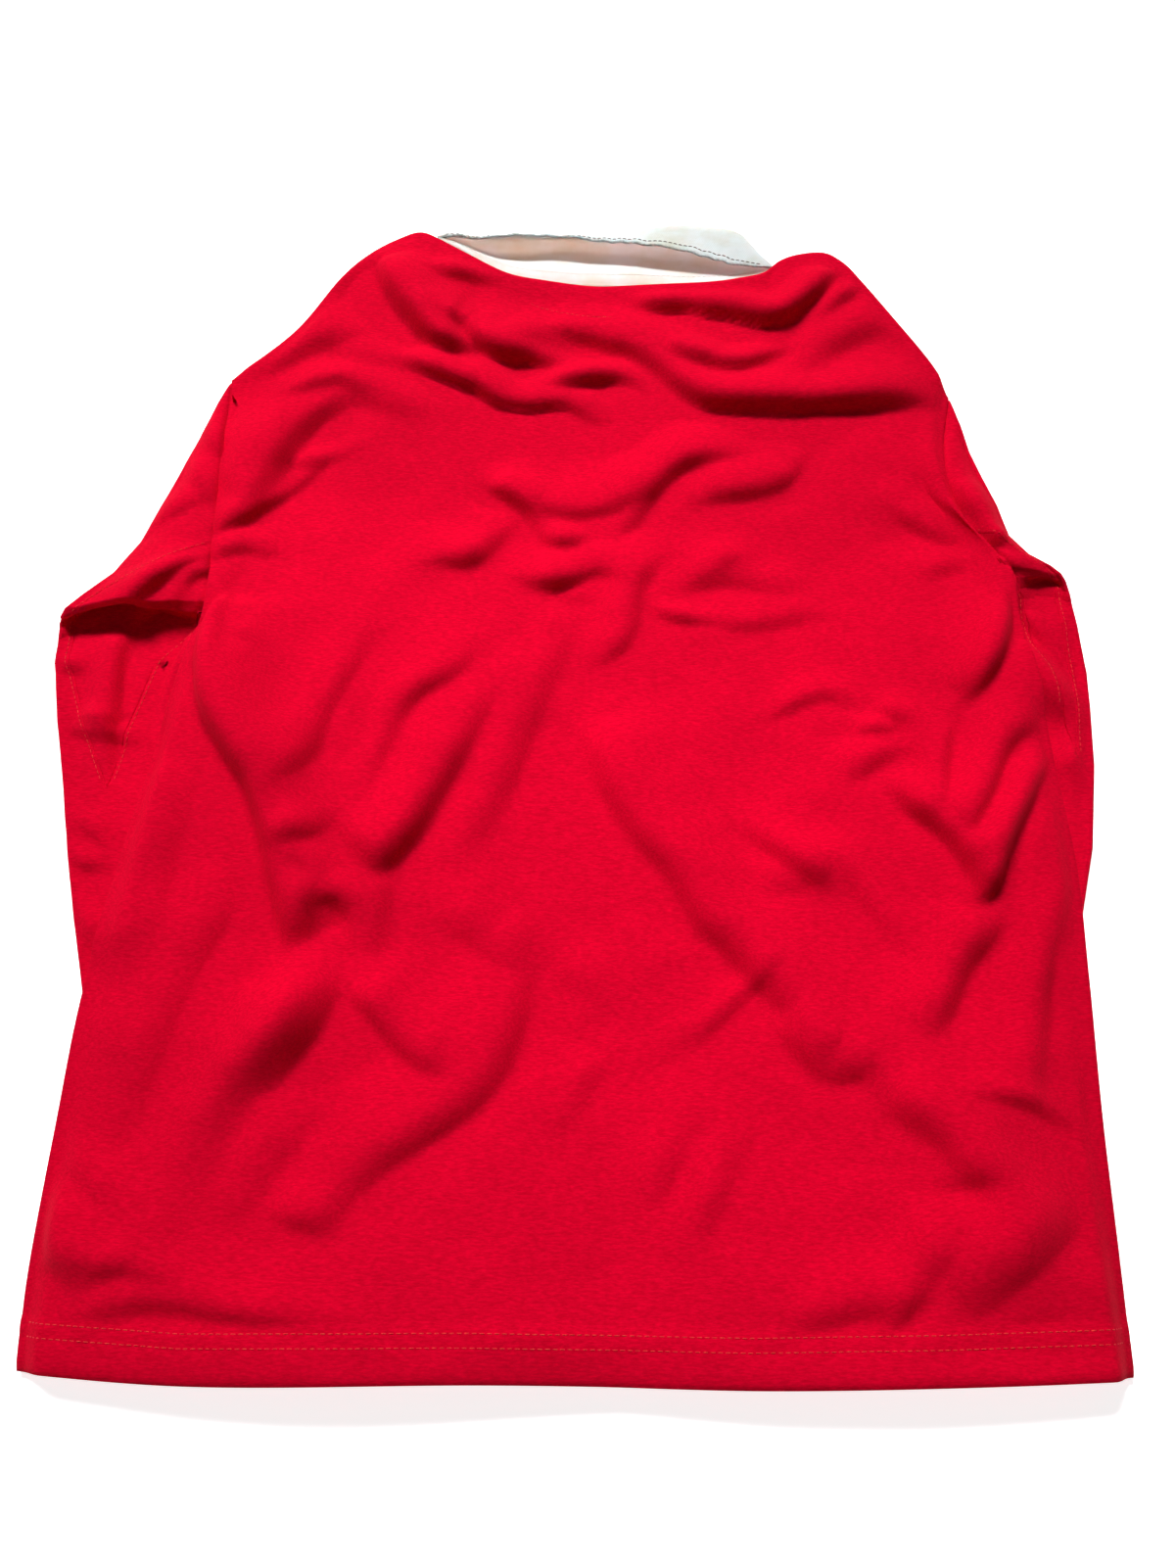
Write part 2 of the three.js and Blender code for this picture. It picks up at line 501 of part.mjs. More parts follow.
// Sleeve: one sheet that starts under the arm on the floor, turns up round the outer fold and comes
// back over the top. The underarm gusset fills the V between its two seams.
function sleeve(side, table) {
  const { rows, under, turn, outer, inner, innerTurn } = SLEEVE_GRID;
  const outward = side === 'left' ? -1 : 1;
  const sheet = [];
  const gusset = [];
  const seamOpen = [];
  for (let i = 0; i <= rows; i++) {
    const row = {};
    for (const key of Object.keys(table[0])) row[key] = column(table, key, i / rows);
    const width = Math.abs(row.ix - row.ox);
    const rise = Math.max(0.9, (row.oz - FLOOR_LAYER) * 0.45);
    const onTop = (w) => {
      const reach = w * mix(0.6, 1, smooth(w / 0.35));
      const bow = 4 * w * (1 - w);
      return new THREE.Vector3(
        mix(row.ox, row.ix, w),
        mix(row.oy, row.iy, reach) + row.tuck * bow * (1.5 - w),
        mix(row.oz + rise, row.iz, smooth(w * 1.15)) + row.crown * bow * (1.25 - 0.5 * w),
      );
    };
    const points = [];
    for (let k = 0; k <= under; k++) {
      const w = 1 - (k / under) * 0.94;
      const lifted = mix(FLOOR_LAYER, row.bz, smooth((w - 0.5) / 0.5));
      points.push(new THREE.Vector3(mix(row.ox, row.bx, w), mix(row.oy, row.by, w), lifted));
    }
    const arc = (from, to, steps, way, bulge) => {
      for (let k = 1; k <= steps; k++) {
        const angle = (k / (steps + 1)) * Math.PI;
        const p = from.clone().lerp(to, (1 - Math.cos(angle)) / 2);
        p.x += way * Math.sin(angle) * bulge;
        points.push(p);
      }
    };
    arc(points[under], onTop(0.05), turn, outward, Math.min(2.4, width * 0.08));
    const clearance = Math.min((2.4 * SEAM) / width, Math.max(0, (row.to - row.from) / 3));
    for (let k = 0; k <= outer; k++) points.push(onTop(mix(0.05, row.from - clearance, k / outer)));
    const start = row.from + clearance;
    const end = Math.max(start, Math.min(row.to, 1 - (0.7 * JERSEY) / width) - clearance);
    gusset.push([0, 1, 2, 3].map((k) => onTop(mix(start, end, k / 3))));
    for (let k = 0; k <= inner; k++) points.push(onTop(mix(Math.min(1, row.to + clearance), 1, k / inner)));
    arc(points[points.length - 1], points[0], innerTurn, -outward, Math.min(1.2, width * 0.08));
    points.push(points[0].clone());
    sheet.push(points);
    seamOpen.push((end - start) * width > GUSSET_LEAST);
  }
  const seamCell = under + turn + 1 + outer;
  const closingCell = seamCell + 1 + inner;
  const armpit = Math.round((ARMPIT_ROW / (table.length - 1)) * rows);
  const isCloth = (i, j) => {
    if (j === seamCell) return !seamOpen[i] && !seamOpen[i + 1];
    return j < closingCell || i >= armpit;
  };
  addPiece(`sleeve_${side}`, wallGeometry(sheet, JERSEY, isCloth), redJersey);
  const inSeam = (i) => seamOpen[i] || seamOpen[i + 1];
  const ends = [
    [seamOpen.indexOf(true), -1],
    [seamOpen.lastIndexOf(true), 1],
  ];
  for (const [open, step] of ends) {
    const tip = gusset[open + step];
    gusset[open + step] = tip.map((p, k) => p.clone().lerp(gusset[open][k], GUSSET_TIP_CUT));
  }
  addPiece(`gusset_${side}`, wallGeometry(gusset, JERSEY, inSeam), redJersey);
  return sheet.slice(Math.round((LOWER_ROW / (table.length - 1)) * rows));
}

// Cuff: a ribbed band, a tube folded flat at the sleeve's end, under the body
function cuff(side, table) {
  const last = table[table.length - 1];
  const top = last.oy - 2 * SEAM - JERSEY / 2;
  const low = Math.min(last.ox, last.ix) + CUFF_TAPER;
  const high = Math.max(last.ox, last.ix) - CUFF_TAPER;
  const middle = (FLOOR_LAYER + SECOND_LAYER) / 2;
  const turn = SECOND_LAYER - middle;
  const across = [0, 1 / 3, 2 / 3, 1].map((u) => mix(low, high, u));
  const ring = [
    ...across.map((x) => [x, FLOOR_LAYER]),
    [high + turn, middle],
    ...across.map((x) => [x, SECOND_LAYER]).reverse(),
    [low - turn, middle],
    [low, FLOOR_LAYER],
  ];
  const grid = [0, 0.5, 1].map((v) => ring.map(([x, z]) => new THREE.Vector3(x, top - CUFF_LENGTH * v, z)));
  addPiece(`cuff_${side}`, wallGeometry(grid, JERSEY), redJersey);
  return wallTop(grid, JERSEY);
}

// Collar: turned up and lying back beyond the neckline, its leaf curled over towards the back
function collar() {
  const { rows, columns } = COLLAR_GRID;
  const strips = [
    ['nx', 'ny', 'nz'],
    ['nx', 'cy', 'cz'],
    ['nx', 'ly', 'lz'],
    ['ex', 'fy', 'fz'],
    ['ex', 'ey', 'ez'],
  ].map(([x, y, z]) => edgeCurve(COLLAR.map((row) => ({ x: row[x], y: row[y], z: row[z] }))));
  const grid = [];
  for (let i = 0; i <= rows; i++) {
    const row = [];
    for (let j = 0; j <= columns; j++) {
      const u = j / columns;
      const profile = new THREE.CatmullRomCurve3(strips.map((strip) => strip.getPointAt(u)));
      row.push(profile.getPointAt(i / rows));
    }
    grid.push(row);
  }
  addPiece('collar_back', wallGeometry(grid, TWILL), whiteTwill);
}

// Front halves of the collar: from the front neckline out to the free edge, under the front
function collarFronts() {
  const { across, along } = COLLAR_FRONT_GRID;
  const top = [];
  for (const { name, stations } of COLLAR_FRONTS) {
    const rollHeight = (row) => Math.max(FLOOR_LAYER, row.z - ROLL_DROP);
    const roll = edgeCurve(stations.map((row) => ({ x: row.x, y: row.y, z: rollHeight(row) })));
    const edge = edgeCurve(stations.map((row) => ({ x: row.lx, y: row.ly, z: row.lz })));
    const grid = [];
    for (let i = 0; i <= across; i++) {
      const row = [];
      for (let j = 0; j <= along; j++) {
        const p = roll.getPointAt(j / along).lerp(edge.getPointAt(j / along), i / across);
        row.push(p.setZ(Math.max(FLOOR_LAYER, p.z)));
      }
      grid.push(row);
    }
    addPiece(name, wallGeometry(grid, JERSEY), whiteTwill);
    top.push(...wallTop(grid, JERSEY));
  }
  return top;
}

// Rubber buttons, flat on the floor under the placket
function buttons() {
  const top = [];
  for (let k = 0; k < BUTTON_COUNT; k++) {
    const disc = new THREE.CylinderGeometry(BUTTON_DIAMETER / 2, BUTTON_DIAMETER / 2, BUTTON_THICKNESS, 20);
    disc.rotateX(Math.PI / 2);
    const place = new THREE.Vector3(
      PLACKET_X,
      FRONT_NECK_DEPTH_Y - BUTTON_TOP_MARGIN - k * BUTTON_SPACING,
      BUTTON_THICKNESS / 2,
    );
    addPiece(`button_${k + 1}`, disc, rubber).position.copy(place);
    top.push(place.setZ(BUTTON_THICKNESS));
  }
  return top;
}

// Placket: a band down the middle of the front, over the buttons
function placket(beneath) {
  const { rows, columns } = PLACKET_GRID;
  const grid = [];
  for (let i = 0; i <= rows; i++) {
    const row = [];
    for (let j = 0; j <= columns; j++) {
      const x = PLACKET_X + PLACKET_WIDTH * (j / columns - 0.5);
      const y = FRONT_NECK_DEPTH_Y - 3 - PLACKET_LENGTH * (1 - i / rows);
      row.push(new THREE.Vector3(x, y, FLOOR_LAYER));
    }
    grid.push(row);
  }
  layOver(grid, beneath, BUTTON_DIAMETER / 2 + 6);
  addPiece('placket', wallGeometry(grid, JERSEY), whiteTwill);
  return wallTop(grid, JERSEY);
}

const underFront = [
  ...wallTop(sleeve('left', SLEEVE_LEFT), JERSEY),
  ...wallTop(sleeve('right', SLEEVE_RIGHT), JERSEY),
  ...cuff('left', SLEEVE_LEFT),
  ...cuff('right', SLEEVE_RIGHT),
  ...collarFronts(),
  ...placket(buttons()),
];
backPanel(frontPanel(underFront));
collar();

// The part's origin is on the floor under the middle of its outline
const outline = new THREE.Box3().setFromObject(shirt);
const middle = outline.getCenter(new THREE.Vector3());
shirt.position.set(-middle.x, -middle.y, 0);

const part = new THREE.Group();
part.add(shirt);

export default part;
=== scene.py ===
"""A long-sleeved rugby shirt in heavy red cotton jersey with a white twill collar, laid face down.

Lengths in the tables are millimetres in the shirt's own frame: x to the right, y from the hem to
the collar, z up from the floor. Blender's metres come in only where a mesh is made.
"""

import math

import bpy
import numpy as np
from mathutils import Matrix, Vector


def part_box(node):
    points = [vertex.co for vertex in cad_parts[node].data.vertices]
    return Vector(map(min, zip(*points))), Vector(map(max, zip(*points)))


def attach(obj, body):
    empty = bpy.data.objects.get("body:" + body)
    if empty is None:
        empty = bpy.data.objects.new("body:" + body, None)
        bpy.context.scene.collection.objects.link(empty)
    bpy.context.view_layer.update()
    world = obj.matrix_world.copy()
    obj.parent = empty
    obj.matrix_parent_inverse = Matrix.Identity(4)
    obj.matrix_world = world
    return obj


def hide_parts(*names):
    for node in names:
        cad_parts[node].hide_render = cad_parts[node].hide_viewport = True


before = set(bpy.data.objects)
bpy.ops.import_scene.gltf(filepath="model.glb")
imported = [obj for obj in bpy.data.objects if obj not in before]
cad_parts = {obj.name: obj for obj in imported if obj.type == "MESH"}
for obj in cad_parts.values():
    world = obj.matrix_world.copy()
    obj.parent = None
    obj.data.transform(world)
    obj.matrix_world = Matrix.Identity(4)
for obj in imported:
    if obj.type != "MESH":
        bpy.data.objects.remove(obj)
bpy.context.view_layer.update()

# Cloth and levels, as in the solids
JERSEY = 1.5
TWILL = 2.0
SEAM = 0.3
FLOOR_LAYER = JERSEY / 2
SECOND_LAYER = FLOOR_LAYER + JERSEY + SEAM
BACK_REST = 3.1
SIDE_SETTLE = 0.13
TOP_SETTLE = 0.26
HEM_LEFT = -285.5
HEM_RIGHT = 272.5
ARMPIT_LEFT_Y = 437
ARMPIT_RIGHT_Y = 460
CUFF_LENGTH = 62
CUFF_TAPER = 5
ROLL_DROP = 4
PLACKET_X = 6
PLACKET_WIDTH = 34
PLACKET_LENGTH = 150
FRONT_NECK_Y = 604
BUTTON_DIAMETER = 13
BUTTON_THICKNESS = 2
BUTTON_COUNT = 3
BUTTON_SPACING = 46
BUTTON_TOP_MARGIN = 18

# The photograph's camera
CAMERA = (0, 51.8, 658.9)
AIM = (0, 318, 0)
LENS = 26.98
SENSOR = 36

# The first button's place in the shirt's frame ties it to the part's frame
button_low, button_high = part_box("button_1")
SHIFT_X = (button_low[0] + button_high[0]) * 500 - PLACKET_X
SHIFT_Y = (button_low[1] + button_high[1]) * 500 - (FRONT_NECK_Y - BUTTON_TOP_MARGIN)

# Side seam and armhole of the back, from the hem to the shoulder tip
BACK_LEFT = [
    (HEM_LEFT, 0, BACK_REST),
    (-288, 40, BACK_REST),
    (-286, 120, 3.6),
    (-281.5, 190, 7.4),
    (-269, 285, 7.6),
    (-257, 363, 8.2),
    (-246, 412, 11),
    (-240, 437, 18),
    (-241, 480, 17),
    (-243, 560, 15),
    (-244, 611, 14),
]
BACK_RIGHT = [
    (HEM_RIGHT, -3, BACK_REST),
    (275, 50, BACK_REST),
    (277.5, 120, 3.6),
    (281, 200, 7.4),
    (284, 262, 7.6),
    (280, 330, 9),
    (276, 385, 13),
    (271, 425, 15),
    (269, 460, 18),
    (247, 493, 17),
    (237, 530, 16),
    (238, 556, 15),
    (246, 596, 14),
]

# Shoulders and back neckline, from the left shoulder tip to the right one
BACK_TOP = [
    (-244, 611, 14),
    (-202, 648, 17),
    (-172.5, 692, 22),
    (-157, 708, 26),
    (-137, 721, 29),
    (-119, 728, 31),
    (-104, 722, 30),
    (-84, 711, 25),
    (-56, 697, 21),
    (-28, 693, 18.5),
    (14, 690, 18),
    (60, 687.8, 18.5),
    (90, 687, 20),
    (107, 688.5, 23.5),
    (124, 692, 28),
    (136, 702, 31),
    (152, 707, 32),
    (168.5, 707, 32),
    (180, 699, 30),
    (190.5, 685, 25),
    (211, 655, 18),
    (234, 620, 15),
    (246, 596, 14),
]
HEM = [(HEM_LEFT, 0), (-200, -5), (-60, -4.5), (80, -7), (180, -5.5), (HEM_RIGHT, -3)]

# Front neckline, and below it the free edge of the collar's front halves under the front
FRONT_NECK = [
    (-103, 720, 22, -150, 690, 13),
    (-88, 690, 14, -136, 652, 6),
    (-58, 640, 5, -100, 600, FLOOR_LAYER),
    (-18, 610, 3, -42, 553, FLOOR_LAYER),
    (PLACKET_X, FRONT_NECK_Y, 3, PLACKET_X, 560, FLOOR_LAYER),
    (30, 608, 3, 54, 552, FLOOR_LAYER),
    (76, 634, 5, 116, 592, FLOOR_LAYER),
    (108, 668, 14, 152, 640, 6),
    (122, 690, 22, 166, 674, 13),
]
# Height of the front's edge along the armhole: distance up from the armpit, height
FRONT_ARMHOLE = [(0, 8), (12, 4), (28, FLOOR_LAYER), (100, FLOOR_LAYER), (136, 5), (174, 11.6)]

# Sleeves, a row for each ring from the shoulder tip to the cuff. The outer fold (ox, oy, oz) and
# the inner edge (ix, iy, iz) bound the layer on top, crown lifts its middle and tuck pulls it back
# under the fold at the elbow. The layer beneath runs from the outer fold to (bx, by, bz). The
# underarm gusset lies between start and end, as shares of the way from outer fold to inner edge.
SLEEVE_COLUMNS = (
    "ox", "oy", "oz", "ix", "iy", "iz", "bx", "by", "bz", "crown", "tuck", "start", "end",
)
SLEEVE_LEFT = [
    (-244.9, 610, 12, -244.2, 607, 13, -244.2, 607, 11, 0, 0, 1, 1),
    (-257.5, 575, 8, -243.8, 560, 15, -243.8, 560, 3, 4, 0, 1, 1),
    (-278, 515, 8, -242.3, 505, 16, -242.3, 505, FLOOR_LAYER, 6, 0, 1, 1),
    (-290, 482, 8, -242, 478, 16.5, -242, 478, FLOOR_LAYER, 7, 0, 1, 1),
    (-304, 458, 9, -242, 460, 17.5, -242, 461, 2, 8, 0, 0.55, 1),
    (-321, 441, 10.5, -242, 446, 18, -242, 447, 5, 9, 0, 0.22, 1),
    (-331, 430, 11, -242.5, 435, 18, -242.5, 437, 8, 10, 0, 0.14, 1),
    (-334, 424, 9.5, -245, 429, 15.5, -245, 431, 7.5, 8, 5, 0.13, 1),
    (-336, 420, 7, -246, 427, 12, -246, 426, 5.5, 3, 18, 0.12, 1),
    (-336.5, 416, 5.5, -246, 424, 9, -246, 420, 3, 0, 22, 0.12, 1),
    (-337, 411, 4.5, -243, 418, 5.5, -243, 414, 1.2, 0, 14, 0.12, 0.9),
    (-337, 398, 3.8, -232, 402, SECOND_LAYER, -232, 402, FLOOR_LAYER, 2, 0, 0.12, 0.62),
    (-329.5, 358, 3.4, -215, 362, SECOND_LAYER, -215, 362, FLOOR_LAYER, 1.5, 0, 0.18, 0.42),
    (-318.5, 314, 3.2, -204, 314, SECOND_LAYER, -204, 314, FLOOR_LAYER, 1, 0, 0.26, 0.26),
    (-306.5, 262, 3, -196, 260, SECOND_LAYER, -196, 260, FLOOR_LAYER, 0.5, 0, 0.3, 0.3),
    (-286, 188, 2, -184, 186, SECOND_LAYER, -184, 186, FLOOR_LAYER, 0, 0, 0.3, 0.3),
    (-258, 104, 1.65, -168, 104, SECOND_LAYER, -168, 104, FLOOR_LAYER, 0, 0, 0.3, 0.3),
]
SLEEVE_RIGHT = [
    (246.8, 595, 12, 246, 592, 13, 246, 592, 11, 0, 0, 1, 1),
    (256, 554, 8, 240, 552, 15, 240, 552, 3, 3, 0, 1, 1),
    (269, 510, 8, 243.5, 514, 16, 243.5, 514, FLOOR_LAYER, 4, 0, 1, 1),
    (273, 486, 9, 251.5, 491, 16.5, 251.5, 491, FLOOR_LAYER, 4, 0, 1, 1),
    (284, 471, 10, 262.5, 475, 17.5, 262.5, 475, 4, 3, 0, 0.5, 1),
    (297, 463, 10, 269, 466, 18, 269, 466, 7, 2, 0, 0.3, 1),
    (303, 458, 9.5, 271, 460, 18, 271, 460, 8, 1, 0, 0.25, 1),
    (306, 454, 8, 272.5, 455, 15.5, 272.5, 454, 7.5, 0, 2, 0.25, 1),
    (307.5, 449, 6.5, 273.5, 451, 12.5, 273.5, 449, 5.5, 0, 8, 0.25, 1),
    (308.5, 445, 5.5, 274, 447, 9, 274, 443, 3, 0, 11, 0.25, 1),
    (309.5, 440, 4.5, 273.5, 441, 5.5, 273.5, 437, 1.2, 0, 6, 0.25, 0.85),
    (311.5, 424, 3.8, 260, 426, SECOND_LAYER, 260, 426, FLOOR_LAYER, 2, 0, 0.2, 0.6),
    (314, 392, 3.6, 234, 392, SECOND_LAYER, 234, 392, FLOOR_LAYER, 2, 0, 0.16, 0.32),
    (309.5, 330, 3.2, 214, 330, SECOND_LAYER, 214, 330, FLOOR_LAYER, 1, 0, 0.14, 0.14),
    (300.5, 277, 3, 201, 277, SECOND_LAYER, 201, 277, FLOOR_LAYER, 0.5, 0, 0.2, 0.2),
    (284, 222, 2, 188, 222, SECOND_LAYER, 188, 222, FLOOR_LAYER, 0, 0, 0.3, 0.3),
    (252, 118, 1.65, 165, 118, SECOND_LAYER, 165, 118, FLOOR_LAYER, 0, 0, 0.3, 0.3),
]
ARMPIT_ROW = 7
LOWER_ROW = 10

# Back part of the collar, a row for each station from the left neck point to the right one. Its
# section runs back from the neckline over the crest of the stand, down to the floor, turns up at
# the far side and comes back to the free edge of the leaf.
COLLAR = [
    ((-106, 724, 30), (-106, 724.4, 30), (-106, 725, 29.8), (-106, 725.8, 29.6), (-106, 725, 30)),
    ((-101, 721.6, 28.6), (-101, 723, 28.6), (-101, 729, 25), (-101, 733, 25), (-101, 726.5, 29.5)),
    ((-90, 716.8, 26.6), (-90, 720, 26.6), (-90, 730, 20), (-90, 736, 20), (-90, 728, 29)),
    ((-74, 707, 23.6), (-74, 713, 23.8), (-74, 731, 12), (-74, 738.5, 16), (-74, 727, 28)),
    ((-56, 698.4, 20.8), (-56, 706, 21.4), (-56, 736, 5), (-55, 743.5, 10), (-54, 733, 25)),
    ((-20, 693.4, 18), (-20, 702, 19), (-20, 738, 4), (-20, 745, 9), (-20, 731.5, 24)),
    ((20, 690.9, 17.8), (20, 699, 18.8), (20, 736, 4.5), (20, 746, 11), (20, 726, 25)),
    ((60, 688.9, 18.3), (60, 696, 19), (60, 733, 6), (60, 749, 15), (60, 718.5, 27)),
    ((88, 688, 19.6), (88, 695, 20.2), (88, 725, 10), (88, 744, 19), (88, 708, 28)),
    ((107, 689.8, 23), (107, 695, 23.6), (107, 713, 17), (107, 733, 25), (106, 699.5, 30.5)),
    ((121, 693, 27), (121, 694.8, 27.2), (121, 700, 26), (121, 709, 29), (121, 697, 31)),
    ((129, 696, 28.4), (129, 696.6, 28.7), (129, 697.6, 29), (129, 699, 29.4), (129, 697, 30)),
]

# Loft of the back over the front, from the hem to the neckline: y, loft
BACK_LOFT = [(0, 0.2), (50, 1), (200, 1.8), (420, 2.2), (560, 3), (640, 2), (690, 0)]

